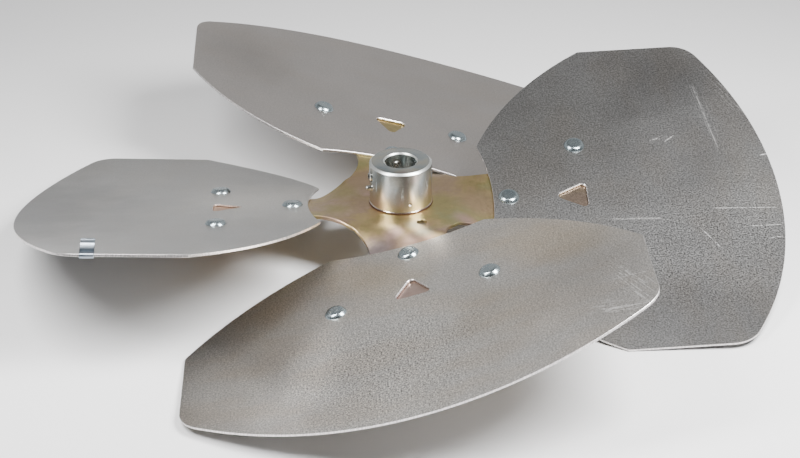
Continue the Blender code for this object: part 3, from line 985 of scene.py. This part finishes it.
# %% Press the spider
spider_mesh = flat_blank(
    "pressed_spider",
    spider_outline(),
    spider_holes,
    PLATE,
    SPIDER_FIELD,
    SPIDER_RIM_BREAK,
    SPIDER_HOLE_BREAK,
)
for vertex in spider_mesh.vertices:
    vertex.co = spider_form(*vertex.co) + Vector((0.0, 0.0, PLATE_TOP))
spider_mesh.materials.append(zinc_plate)
spider_mesh.materials.append(zinc_edge_highlight)
marks = spider_mesh.attributes["sheared"].data
for face in spider_mesh.polygons:
    face.material_index = int(marks[face.index].value)
spider = bpy.data.objects.new("pressed_spider", spider_mesh)
bpy.context.collection.objects.link(spider)
softened(spider)
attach(spider, "root")
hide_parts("spider")
print(spider.name, len(spider_mesh.polygons), "faces")

# %% [markdown]
# ## Rivets
#
# Twelve rivets hold the blades. Each has a low head with a flat crown and a quick rounded
# rim, bright zinc with a bluish cast, and a closed head under the arm. A tree shapes one
# rivet from two rounded buttons and a shank, stands a copy on every seat, and turns it to
# the sheet's normal there. The seats are twelve points that carry that normal as "up".


# %% Zinc of the rivets and other small steel
def bright_steel(name, colour, tint, roughness, seed, depth):
    """Plated steel with a faint cloud of a second colour and fine tumbling marks."""
    made, tree, shader = new_finish(name, 1.0, roughness, colour)
    place = object_place(tree)
    cloud = noise(tree, place, 130.0, 2.0, 0.5, None, seed)
    fine = noise(tree, place, 900.0, 2.0, 0.6, None, seed)
    tree.links.new(blend(tree, between(cloud, 0.3, 0.7), colour, tint), shader.inputs["Base Color"])
    rough = between(fine, 0.3, 0.7, roughness - 0.05, roughness + 0.07, False)
    plug(tree, rough, shader.inputs["Roughness"])
    relief(tree, shader, fine * 0.6 + cloud * 0.4, depth)
    return made


rivet_zinc = bright_steel(
    "rivet_zinc", (0.40, 0.46, 0.48), (0.33, 0.39, 0.42), 0.23, 5.0, 0.00003
)
screw_steel = bright_steel(
    "screw_steel", (0.50, 0.51, 0.50), (0.42, 0.42, 0.39), 0.24, 9.0, 0.00008
)
clip_steel = bright_steel(
    "spring_steel", (0.25, 0.29, 0.33), (0.30, 0.33, 0.37), 0.34, 13.0, 0.00002
)
print("small steel", rivet_zinc.name, screw_steel.name, clip_steel.name)


# %% Seats on the blades
def seat(u, v):
    """Place of a point of the pressed top face, with its along, across and up directions."""
    step = 0.001
    here = Vector(blade_form(u, v, 0.0))
    along = (Vector(blade_form(u + step, v, 0.0)) - here).normalized()
    across = (Vector(blade_form(u, v + step, 0.0)) - here).normalized()
    up = along.cross(across).normalized()
    return Matrix.Translation(here) @ Matrix((along, up.cross(along), up)).transposed().to_4x4()


def on_arm(degrees):
    """From an arm's own frame to the rotor's."""
    turn = Matrix.Rotation(math.radians(degrees), 4, "Z")
    return Matrix.Translation((0.0, 0.0, PLATE_TOP)) @ turn


seats = [on_arm(degrees) @ seat(*place) for degrees in ARMS.values() for place in RIVETS.values()]
seat_mesh = bpy.data.meshes.new("rivet_seats")
seat_mesh.from_pydata([tuple(s.translation) for s in seats], [], [])
ups = seat_mesh.attributes.new("up", "FLOAT_VECTOR", "POINT")
ups.data.foreach_set("vector", [c for s in seats for c in s.col[2].xyz])
print("rivet seats", len(seats))

# %% The rivet tree
RIVET_INPUTS = {
    "Head radius": 0.0085,
    "Head height": 0.0030,
    "Shank radius": SHANK,
    "Stack": SHEET + GAP + PLATE,
    "Tail radius": 0.0062,
    "Tail height": 0.0035,
    "Finish": rivet_zinc,
}
RIM_FROM, RIM_SHARE = 0.68, 0.32
CROWN_FALL, RIM_FALL = 0.05, 0.88


def button(tree, radius, height):
    """A flat-bottomed round button with a flat crown and a quick rounded rim."""
    ball = add_node(tree, "GeometryNodeMeshUVSphere", {"Segments": 32, "Rings": 18, "Radius": 1.0})
    flat = add_node(
        tree, "ShaderNodeSeparateXYZ", {0: add_node(tree, "GeometryNodeInputPosition").outputs[0]}
    ).outputs
    x, y, z = (Wire(tree, socket) for socket in flat)
    reach = (x * x + y * y).math("SQRT").math("MINIMUM", 1.0)
    shoulder = ((reach - RIM_FROM) / RIM_SHARE).math("MAXIMUM", 0.0)
    upper = z.math("GREATER_THAN", 0.001)
    crowned = (1.0 - reach * reach * CROWN_FALL - shoulder**1.5 * RIM_FALL) * upper * height
    spot = add_node(tree, "ShaderNodeCombineXYZ", {0: x * radius, 1: y * radius, 2: crowned})
    return add_node(
        tree,
        "GeometryNodeSetPosition",
        {"Geometry": ball.outputs["Mesh"], "Position": spot.outputs[0]},
    ).outputs[0]


def rivet_tree():
    """Head, shank and closed tail, joined, then stood on every seat."""
    tree, sockets, end = new_tree("rivets_on_seats", RIVET_INPUTS)
    size = {label: Wire(tree, sockets[label]) for label in RIVET_INPUTS}
    head = button(tree, size["Head radius"], size["Head height"])
    tail = button(tree, size["Tail radius"], size["Tail height"])
    below = add_node(tree, "ShaderNodeCombineXYZ", {2: size["Stack"] * -1.0}).outputs[0]
    flipped = add_node(
        tree,
        "GeometryNodeTransform",
        {"Geometry": tail, "Translation": below, "Rotation": (math.pi, 0.0, 0.0)},
    )
    bar = add_node(
        tree,
        "GeometryNodeMeshCylinder",
        {"Vertices": 24, "Radius": sockets["Shank radius"], "Depth": sockets["Stack"]},
    )
    half = add_node(tree, "ShaderNodeCombineXYZ", {2: size["Stack"] * -0.5}).outputs[0]
    shank = add_node(
        tree, "GeometryNodeTransform", {"Geometry": bar.outputs["Mesh"], "Translation": half}
    )
    whole = add_node(tree, "GeometryNodeJoinGeometry")
    for part in (head, flipped.outputs[0], shank.outputs[0]):
        tree.links.new(part, whole.inputs[0])
    up = add_node(
        tree, "GeometryNodeInputNamedAttribute", {"Name": "up"}, data_type="FLOAT_VECTOR"
    ).outputs["Attribute"]
    aimed = add_node(tree, "FunctionNodeAlignRotationToVector", {"Vector": up}, axis="Z")
    copies = add_node(
        tree,
        "GeometryNodeInstanceOnPoints",
        {
            "Points": sockets["Geometry"],
            "Instance": whole.outputs[0],
            "Rotation": aimed.outputs[0],
        },
    )
    real = add_node(tree, "GeometryNodeRealizeInstances", {0: copies.outputs[0]})
    done = add_node(
        tree,
        "GeometryNodeSetMaterial",
        {"Geometry": real.outputs[0], "Material": sockets["Finish"]},
    )
    tree.links.new(done.outputs[0], end)
    return tree


rivets = softened(made_by(rivet_tree(), "rivets", seat_mesh, RIVET_INPUTS), 40.0)
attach(rivets, "root")
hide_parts(*[f"rivet_{arm}_{place}" for arm in ARMS for place in RIVETS])
print(rivets.name, len(rivets.data.polygons), "faces")

# %% [markdown]
# ## The hub
#
# The hub is a turned steel ring, zinc plated bright. Its nose has a broad chamfer that
# catches the light as a white ring, and so does the chamfer of the bore. A lathe part is a
# profile spun round an axis, so the mesh is made just so, and the drilled holes are cut with
# booleans before it gets its finish. The profile runs from the staked collar under the plate
# up the outside to the nose, and back down the bore. A small lip rolls out at the hub's foot.

# %% Sizes of the hub
BORE, SPIGOT, COLLAR = 0.0127, 0.0190, 0.0215
HUB_TURN = 14
AROUND = 144
SCREW_SIDES = {"back": 90, "left": 180}
SCREW_HEIGHT, SCREW_HOLE = 0.0250, 0.0042
PIN_SIDE, PIN_HEIGHT, PIN_HOLE, PIN_HOLE_FLOOR = 180, 0.0152, 0.0022, 0.0156
DIMPLE_SIDE, DIMPLE_HEIGHT = 270, 0.0081
BIT_END = 0.05
print("bore", BORE, "hub radius", round(HUB_RADIUS, 4))



# %% Spin and drill helpers
def spun(profile):
    """A closed turned body from a closed profile of (radius, height) points."""
    body = bmesh.new()
    rings = []
    for step in range(AROUND):
        angle = 2.0 * math.pi * step / AROUND
        c, s = math.cos(angle), math.sin(angle)
        rings.append([body.verts.new((r * c, r * s, z)) for r, z in profile])
    for here, after in zip(rings, rings[1:] + rings[:1]):
        for low in range(len(profile)):
            high = (low + 1) % len(profile)
            body.faces.new((here[low], after[low], after[high], here[high]))
    return facing_out(body)


def facing_out(body):
    """Turn every face of a closed body outwards."""
    bmesh.ops.recalc_face_normals(body, faces=body.faces)
    if body.calc_volume(signed=True) < 0.0:
        bmesh.ops.reverse_faces(body, faces=body.faces)
    return body


def as_object(name, body):
    """A bmesh as a linked object."""
    mesh = bpy.data.meshes.new(name)
    body.to_mesh(mesh)
    body.free()
    made = bpy.data.objects.new(name, mesh)
    bpy.context.collection.objects.link(made)
    return made


def cut_by(item, tool):
    """Subtract a tool from an object and drop the tool."""
    modifier = item.modifiers.new("cut", "BOOLEAN")
    modifier.operation = "DIFFERENCE"
    modifier.solver = "EXACT"
    modifier.object = tool
    view = bpy.context.evaluated_depsgraph_get()
    result = bpy.data.meshes.new_from_object(item.evaluated_get(view))
    item.modifiers.clear()
    item.data = result
    result.name = item.name
    bpy.data.objects.remove(tool, do_unlink=True)


def bar_out(stations, steps):
    """A closed bar along x from (distance, radius) stations."""
    body = bmesh.new()
    turns = [2.0 * math.pi * step / steps for step in range(steps)]
    rings = []
    for x, r in stations:
        rings.append([body.verts.new((x, r * math.cos(t), r * math.sin(t))) for t in turns])
    for first, second in zip(rings, rings[1:]):
        for step in range(steps):
            after = (step + 1) % steps
            body.faces.new((first[step], first[after], second[after], second[step]))
    body.faces.new(rings[0])
    body.faces.new(rings[-1])
    return facing_out(body)


def aimed_out(item, degrees, height):
    """Point a bar along x outwards at an angle of the hub, at a height over the spider."""
    turn = Matrix.Rotation(math.radians(degrees + HUB_TURN), 4, "Z")
    item.data.transform(Matrix.Translation((0.0, 0.0, PLATE_TOP + height)) @ turn)
    return item


def drill(item, stations, steps, degrees, height):
    """Cut a round bit's shape into the hub from outside."""
    cut_by(item, aimed_out(as_object("bit", bar_out(stations, steps)), degrees, height))


print("helpers for turning and drilling ready")

# %% Turn the hub
collar_foot = HUB_LOW.z - PLATE_TOP
collar_top = -PLATE - 0.0001
hub_profile = [(BORE + 0.0008, collar_foot)]
hub_profile += [(COLLAR - 0.0008, collar_foot), (COLLAR, collar_foot + 0.0008)]
hub_profile += [(COLLAR, collar_top), (SPIGOT, collar_top), (SPIGOT, 0.0001)]
hub_profile += [(HUB_RADIUS - 0.0004, 0.0007), (HUB_RADIUS + 0.0002, 0.0009)]
hub_profile += [(HUB_RADIUS + 0.0004, 0.0012), (HUB_RADIUS, 0.0018)]
hub_profile += [(HUB_RADIUS, HUB_HEIGHT - 0.0019), (HUB_RADIUS - 0.0001, HUB_HEIGHT - 0.0017)]
hub_profile += [(HUB_RADIUS - 0.0017, HUB_HEIGHT - 0.0001), (HUB_RADIUS - 0.0019, HUB_HEIGHT)]
hub_profile += [(BORE + 0.0011, HUB_HEIGHT), (BORE + 0.0001, HUB_HEIGHT - 0.0009)]
hub_profile += [(BORE, HUB_HEIGHT - 0.0012), (BORE, collar_foot + 0.0008)]
hub = as_object("turned_hub", spun(hub_profile))
hub.data.transform(Matrix.Translation((0.0, 0.0, PLATE_TOP)))
print("turned hub has", len(hub.data.polygons), "faces")

# %% Drill the hub
for degrees in SCREW_SIDES.values():
    drill(hub, [(0.0, SCREW_HOLE), (BIT_END, SCREW_HOLE)], 40, degrees, SCREW_HEIGHT)
drill(hub, [(PIN_HOLE_FLOOR, PIN_HOLE), (BIT_END, PIN_HOLE)], 28, PIN_SIDE, PIN_HEIGHT)
dimple = [(HUB_RADIUS - 0.0012, 0.0003), (HUB_RADIUS - 0.0006, 0.0011)]
dimple.append((HUB_RADIUS + 0.001, 0.0019))
drill(hub, dimple, 24, DIMPLE_SIDE, DIMPLE_HEIGHT)
print("drilled hub has", len(hub.data.polygons), "faces")

# %% [markdown]
# ### Turned, plated steel
#
# A lathe leaves rings too fine to see one by one, but they stretch every reflection across
# the rings. On the hub's side that gives upright streaks, on its nose a fan of light. The
# shader does this by anisotropy: its tangent runs round the axis, and a quarter turn of the
# anisotropy makes the stretch run across the rings. The plating adds a faint warm and cool
# cloud. Towards the hub's foot the colour turns warm: a painted reflection of the
# yellow plate.
#
# The two chamfers have a finish of their own, rougher and even, so that the lights join into
# one bright ring on each.


# %% Hub finish
def turned_zinc():
    """Plated steel whose reflections are drawn out across the lathe's rings."""
    made, tree, shader = new_finish("turned_zinc", 1.0, 0.20, (0.50, 0.52, 0.51))
    place = object_place(tree)
    cloud = noise(tree, place, 60.0, 3.0, 0.55, (1.0, 1.0, 0.6), 3.0)
    fine = noise(tree, place, 700.0, 2.0, 0.6)
    stops = [
        (0.32, (0.34, 0.39, 0.41)),
        (0.46, (0.41, 0.44, 0.43)),
        (0.58, (0.47, 0.46, 0.40)),
        (0.72, (0.50, 0.43, 0.41)),
    ]
    colour = ramp(tree, cloud, stops)
    level = add_node(tree, "ShaderNodeSeparateXYZ", {0: place}).outputs[2]
    # The warm colour towards the foot is a painted reflection of the yellow plate.
    foot = between(Wire(tree, level), PLATE_TOP, PLATE_TOP + 0.030, 1.0, 0.0)
    colour = blend(tree, foot, colour, (0.70, 0.62, 0.53))
    tree.links.new(colour, shader.inputs["Base Color"])
    plug(tree, between(fine, 0.3, 0.7, 0.19, 0.25, False), shader.inputs["Roughness"])
    shader.inputs["Anisotropic"].default_value = 0.70
    shader.inputs["Anisotropic Rotation"].default_value = 0.25
    tangent = add_node(tree, "ShaderNodeTangent", direction_type="RADIAL", axis="Z")
    tree.links.new(tangent.outputs[0], shader.inputs["Tangent"])
    relief(tree, shader, fine, 0.00001)
    return made


hub_zinc = turned_zinc()
chamfer_zinc, *_ = new_finish("chamfered_zinc", 1.0, 0.34, (0.62, 0.64, 0.62))
CHAMFER_DEPTH = 0.0018
hub.data.materials.clear()
hub.data.materials.append(hub_zinc)
hub.data.materials.append(chamfer_zinc)
for face in hub.data.polygons:
    near_nose = face.center.z > HUB_TOP.z - CHAMFER_DEPTH
    face.material_index = int(near_nose and 0.3 < face.normal.z < 0.95)
softened(hub)
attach(hub, "root")
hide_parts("hub")
print("hub finishes", hub_zinc.name, chamfer_zinc.name)

# %% [markdown]
# ## The serrated foot
#
# Where the hub stands on the spider, a ring of fine teeth shows. It was pressed into the
# plate, so that the hub cannot turn in it. A tree sets small blocks round a circle, each
# turned to face outwards. Their dark red-brown is painted shade in the narrow crevice at the
# hub's foot.

# %% Serration tree
SERRATION_INPUTS = {
    "Teeth": 92,
    "Ring radius": HUB_RADIUS - 0.0002,
    "Tooth depth": 0.0016,
    "Tooth width": 0.0010,
    "Tooth height": 0.0010,
    "Foot": PLATE_TOP,
    "Finish": teeth_painted_shade,
}


def serration_tree():
    """Blocks round a circle, turned to face out."""
    tree, sockets, end = new_tree("serrated_ring", SERRATION_INPUTS)
    size = {label: Wire(tree, sockets[label]) for label in SERRATION_INPUTS}
    ring = add_node(
        tree,
        "GeometryNodeMeshCircle",
        {"Vertices": sockets["Teeth"], "Radius": sockets["Ring radius"]},
    )
    index = Wire(tree, add_node(tree, "GeometryNodeInputIndex").outputs[0])
    angle = index * (2.0 * math.pi) / size["Teeth"]
    facing = add_node(tree, "ShaderNodeCombineXYZ", {2: angle}).outputs[0]
    shape = {0: size["Tooth depth"], 1: size["Tooth width"], 2: size["Tooth height"]}
    block = add_node(
        tree,
        "GeometryNodeMeshCube",
        {"Size": add_node(tree, "ShaderNodeCombineXYZ", shape).outputs[0]},
    )
    teeth = add_node(
        tree,
        "GeometryNodeInstanceOnPoints",
        {"Points": ring.outputs["Mesh"], "Instance": block.outputs["Mesh"], "Rotation": facing},
    )
    foot = size["Foot"] + size["Tooth height"] * 0.4
    lift = add_node(tree, "ShaderNodeCombineXYZ", {2: foot}).outputs[0]
    placed = add_node(
        tree, "GeometryNodeTransform", {"Geometry": teeth.outputs[0], "Translation": lift}
    )
    real = add_node(tree, "GeometryNodeRealizeInstances", {0: placed.outputs[0]})
    done = add_node(
        tree,
        "GeometryNodeSetMaterial",
        {"Geometry": real.outputs[0], "Material": sockets["Finish"]},
    )
    tree.links.new(done.outputs[0], end)
    return tree


no_mesh = bpy.data.meshes.new("nothing")
serrations = made_by(serration_tree(), "hub_serrations", no_mesh, SERRATION_INPUTS)
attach(serrations, "root")
print(serrations.name, len(serrations.data.polygons), "faces")

# %% [markdown]
# ## Set screws and pin
#
# Two socket set screws clamp the hub to its shaft. Each is a bar with a hexagon socket and
# a thread. A thread is a ridge that follows a helix, so a tree sweeps a small triangle along
# a spiral and joins it to the bar. The pin under the left screw is a plain driven pin with a
# rounded end.

# %% Thread tree
SCREW_CORE = 0.0036
THREAD_INPUTS = {
    "Ridge": 0.0005,
    "Core radius": SCREW_CORE,
    "Turns": 9.6,
    "Length": 0.0120,
    "Start": HUB_RADIUS - 0.0118,
    "Turn": 0.0,
    "Height": PLATE_TOP + SCREW_HEIGHT,
    "Finish": screw_steel,
}


def thread_tree():
    """Sweep a triangle along a spiral, lay it along the bar, and join the bar to it."""
    tree, sockets, end = new_tree("threaded_bar", THREAD_INPUTS)
    helix = add_node(
        tree,
        "GeometryNodeCurveSpiral",
        {
            "Resolution": 24,
            "Rotations": sockets["Turns"],
            "Start Radius": sockets["Core radius"],
            "End Radius": sockets["Core radius"],
            "Height": sockets["Length"],
        },
    )
    ridge = add_node(
        tree, "GeometryNodeCurvePrimitiveCircle", {"Resolution": 3, "Radius": sockets["Ridge"]}
    )
    swept = add_node(
        tree,
        "GeometryNodeCurveToMesh",
        {"Curve": helix.outputs[0], "Profile Curve": ridge.outputs[0], "Fill Caps": True},
    )
    shift = add_node(tree, "ShaderNodeCombineXYZ", {0: sockets["Start"]}).outputs[0]
    laid = add_node(
        tree,
        "GeometryNodeTransform",
        {
            "Geometry": swept.outputs[0],
            "Translation": shift,
            "Rotation": (0.0, math.pi / 2.0, 0.0),
        },
    )
    whole = add_node(tree, "GeometryNodeJoinGeometry")
    tree.links.new(laid.outputs[0], whole.inputs[0])
    tree.links.new(sockets["Geometry"], whole.inputs[0])
    turn = add_node(tree, "ShaderNodeCombineXYZ", {2: sockets["Turn"]}).outputs[0]
    lift = add_node(tree, "ShaderNodeCombineXYZ", {2: sockets["Height"]}).outputs[0]
    placed = add_node(
        tree,
        "GeometryNodeTransform",
        {"Geometry": whole.outputs[0], "Translation": lift, "Rotation": turn},
    )
    real = add_node(tree, "GeometryNodeRealizeInstances", {0: placed.outputs[0]})
    done = add_node(
        tree,
        "GeometryNodeSetMaterial",
        {"Geometry": real.outputs[0], "Material": sockets["Finish"]},
    )
    tree.links.new(done.outputs[0], end)
    return tree


# %% Make the set screws
screw_thread = thread_tree()
SCREW_END = HUB_RADIUS + 0.0013
SOCKET, SOCKET_DEPTH = 0.0023, 0.004
for side, degrees in SCREW_SIDES.items():
    stations = [(SCREW_END - 0.0132, 0.0024), (SCREW_END - 0.0120, SCREW_CORE)]
    stations += [(SCREW_END - 0.0006, SCREW_CORE), (SCREW_END, 0.0031)]
    bar = as_object("bar", bar_out(stations, 36))
    hexagon = [(SCREW_END - SOCKET_DEPTH, SOCKET), (SCREW_END + SOCKET_DEPTH, SOCKET)]
    cut_by(bar, as_object("key", bar_out(hexagon, 6)))
    sizes = {**THREAD_INPUTS, "Turn": math.radians(degrees + HUB_TURN)}
    screw = softened(made_by(screw_thread, f"socket_screw_{side}", bar.data, sizes))
    bpy.data.objects.remove(bar, do_unlink=True)
    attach(screw, "root")
    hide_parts(f"set_screw_{side}")
    print(screw.name, len(screw.data.polygons), "faces")

# %% The pin under the left screw
PIN = 0.0020
pin_end = HUB_RADIUS + 0.0042
pin_stations = [(HUB_RADIUS - 0.0090, PIN - 0.0002), (HUB_RADIUS - 0.0088, PIN)]
pin_stations += [(pin_end - 0.0016, PIN), (pin_end - 0.0008, PIN - 0.0002)]
pin_stations += [(pin_end - 0.0003, 0.0013), (pin_end, 0.0007)]
pin = aimed_out(as_object("driven_pin", bar_out(pin_stations, 28)), PIN_SIDE, PIN_HEIGHT)
pin.data.materials.append(screw_steel)
softened(pin, 50.0)
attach(pin, "root")
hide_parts("lock_pin")
print(pin.name, len(pin.data.polygons), "faces")

# %% [markdown]
# ## The balance clip
#
# A small strip of spring steel is folded over the raised edge of the left blade, to balance
# the rotor. It grips the sheet with a long lower leaf, folds round the edge, and its upper
# leaf rises in small kinks. The strip's centre line is drawn in the plane across the edge,
# given its thickness, and then its width. A small bevel on the mesh breaks the cut edges, and
# the folds stay sharp, because that is how the light shows them one by one.

# %% Sizes of the clip
CLIP_WIDTH, CLIP_STEEL, CLIP_BREAK = 0.0104, 0.0009, 0.00012
LOWER_LEAF, UPPER_GRIP = 0.0130, 0.0038
KINK_TILTS = (10, 96, 34, 58, 22, 48, 14)
KINK_LENGTHS = (0.0006, 0.0024, 0.0034, 0.0018, 0.0032, 0.0014, 0.0014)
CLIP_AT = (0.2330, STRIP / 2.0)
print("the clip sits at", CLIP_AT)


# %% The clip's centre line
def clip_line():
    """From the end of the lower leaf, round the edge, to the raised toe."""
    half = CLIP_STEEL / 2.0
    under, over = -SHEET - GAP - half, GAP + half
    bend = (over - under) / 2.0
    path = [(-LOWER_LEAF, under), (-0.0060, under), (0.0, under)]
    for step in range(1, 10):
        angle = -math.pi / 2.0 + math.pi * step / 10.0
        path.append((bend * math.cos(angle), under + bend + bend * math.sin(angle)))
    path += [(0.0, over), (-UPPER_GRIP, over)]
    across, rise = path[-1]
    for tilt, length in zip(KINK_TILTS, KINK_LENGTHS):
        across -= length * math.cos(math.radians(tilt))
        rise += length * math.sin(math.radians(tilt))
        path.append((across, rise))
    return path


def strip_outline(path):
    """A closed outline of the steel's thickness round a centre line."""
    left, right = [], []
    for index, (x, y) in enumerate(path):
        before, after = path[max(index - 1, 0)], path[min(index + 1, len(path) - 1)]
        run = Vector(after) - Vector(before)
        side = Vector((-run.y, run.x)).normalized() * CLIP_STEEL / 2.0
        left.append((x + side.x, y + side.y))
        right.append((x - side.x, y - side.y))
    return left + right[::-1]


print("the clip's line has", len(clip_line()), "points")

# %% Fold the clip
clip_body = bmesh.new()
outline = strip_outline(clip_line())
rim = [clip_body.verts.new((-CLIP_WIDTH / 2.0, x + GAP, y)) for x, y in outline]
lifted = bmesh.ops.extrude_face_region(clip_body, geom=[clip_body.faces.new(rim)])["geom"]
far = [item for item in lifted if isinstance(item, bmesh.types.BMVert)]
bmesh.ops.translate(clip_body, vec=(CLIP_WIDTH, 0.0, 0.0), verts=far)
facing_out(clip_body)
square = [edge for edge in clip_body.edges if edge.calc_face_angle(0.0) > math.radians(87.5)]
bmesh.ops.bevel(clip_body, geom=square, offset=CLIP_BREAK, segments=1, affect="EDGES")
clip = as_object("edge_clip", facing_out(clip_body))
clip.data.transform(on_arm(ARMS["left"]) @ seat(*CLIP_AT))
clip.data.materials.append(clip_steel)
softened(clip, 30.0)
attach(clip, "root")
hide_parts("balance_clip")
print(clip.name, len(clip.data.polygons), "faces")

# %% [markdown]
# ## Floor and light
#
# The rotor lies on pale paper in a soft studio. Satin metal shows the room more than it
# shows itself, so the light is built for its reflections. Two soft panels stand high at the
# front, one on the right and a weaker one on the left: they draw the streaks on the hub and
# the bright rings on its chamfers. Behind the rotor is a light backdrop that darkens upwards,
# and the hall on the camera's side is dark. A faint glow hangs high at the back right.

# %% Floor
floor_body = bmesh.new()
bmesh.ops.create_grid(floor_body, x_segments=1, y_segments=1, size=6.0)
floor = as_object("paper_floor", floor_body)
paper, paper_tree, paper_shader = new_finish("pale_paper", 0.0, 0.75, (0.80, 0.80, 0.80))
paper_grain = noise(paper_tree, object_place(paper_tree), 3.0, 2.0)
paper_tree.links.new(
    blend(paper_tree, paper_grain, (0.79, 0.79, 0.80), (0.82, 0.815, 0.81)),
    paper_shader.inputs["Base Color"],
)
floor.data.materials.append(paper)
print("floor laid")


# %% Lights
def panel(name, place, aim, width, height, watts):
    """A rectangular soft white light that faces a point."""
    lamp = bpy.data.lights.new(name, "AREA")
    lamp.shape = "RECTANGLE"
    lamp.size, lamp.size_y = width, height
    lamp.energy = watts
    made = bpy.data.objects.new(name, lamp)
    bpy.context.collection.objects.link(made)
    made.location = place
    made.rotation_mode = "QUATERNION"
    made.rotation_quaternion = (Vector(aim) - Vector(place)).to_track_quat("-Z", "Y")
    return made


def around(azimuth, elevation, distance):
    """A place round the rotor: azimuth from the camera's side, positive to the right."""
    a, e = math.radians(azimuth), math.radians(elevation)
    flat = distance * math.cos(e)
    return flat * math.sin(a), -flat * math.cos(a), distance * math.sin(e)


AIM = (0.0, 0.0, 0.03)
panel("bank_right", around(58, 53, 0.80), AIM, 0.30, 0.45, 20.0)
panel("bank_left", around(-58, 53, 0.75), AIM, 0.20, 0.45, 9.0)


# %% The room
def grey(level):
    """A neutral colour."""
    return level, level, level


room = bpy.data.worlds.new("studio")
bpy.context.scene.world = room
room.use_nodes = True
room_tree = room.node_tree
direction = add_node(room_tree, "ShaderNodeTexCoord").outputs["Generated"]
_, depth, height = add_node(room_tree, "ShaderNodeSeparateXYZ", {0: direction}).outputs
backdrop = [(0.0, grey(0.62)), (0.46, grey(0.62)), (0.62, grey(0.50))]
backdrop += [(0.78, grey(0.24)), (1.0, grey(0.20))]
hall = [(0.0, grey(0.06)), (0.5, grey(0.08)), (1.0, grey(0.16))]
behind = between(Wire(room_tree, depth), -0.45, 0.45)
hall_grey = ramp(room_tree, height, hall)
backdrop_grey = ramp(room_tree, height, backdrop)
walls = blend(room_tree, behind, hall_grey, backdrop_grey)
GLOW_TOWARDS = (0.396, 0.5065, 0.766)
GLOW = 0.12
facing = add_node(
    room_tree, "ShaderNodeVectorMath", {0: direction, 1: GLOW_TOWARDS}, operation="DOT_PRODUCT"
).outputs["Value"]
glow = between(Wire(room_tree, facing), 0.86, 0.985) * GLOW
walls = blend(room_tree, 1.0, walls, grey_of(room_tree, glow), "ADD")
room_tree.links.new(walls, room_tree.nodes["Background"].inputs["Color"])
print("room", room.name, "with", len(room_tree.nodes), "nodes")

# %% [markdown]
# ## Camera
#
# The camera stands in front of the rotor, 28 degrees above the floor, with a long lens. Its
# place is given from the hub's foot along three directions: back towards the camera, to the
# right, and up in the picture.

# %% Camera
ELEVATION, AZIMUTH, ROLL = 0.497176, -0.0461652, -0.0101176
DISTANCE, TO_THE_RIGHT, UP_THE_PICTURE = 1.72144, -0.000944, -0.023056
back = Vector(
    (
        math.sin(AZIMUTH) * math.cos(ELEVATION),
        -math.cos(AZIMUTH) * math.cos(ELEVATION),
        math.sin(ELEVATION),
    )
)
right = Vector((math.cos(AZIMUTH), math.sin(AZIMUTH), 0.0))
up = back.cross(right)
lens = bpy.data.cameras.new("camera")
lens.sensor_width = 36.0
lens.lens = 97.062
lens.clip_start, lens.clip_end = 0.1, 50.0
camera = bpy.data.objects.new("camera", lens)
bpy.context.collection.objects.link(camera)
place = back * DISTANCE + right * TO_THE_RIGHT + up * UP_THE_PICTURE
place += Vector((0.0, 0.0, PLATE_TOP))
rolled_right = right * math.cos(ROLL) + up * math.sin(ROLL)
rolled_up = up * math.cos(ROLL) - right * math.sin(ROLL)
turn = Matrix((rolled_right, rolled_up, back)).transposed().to_4x4()
camera.matrix_world = Matrix.Translation(place) @ turn
bpy.context.scene.camera = camera
print("camera at", [round(c, 3) for c in place])
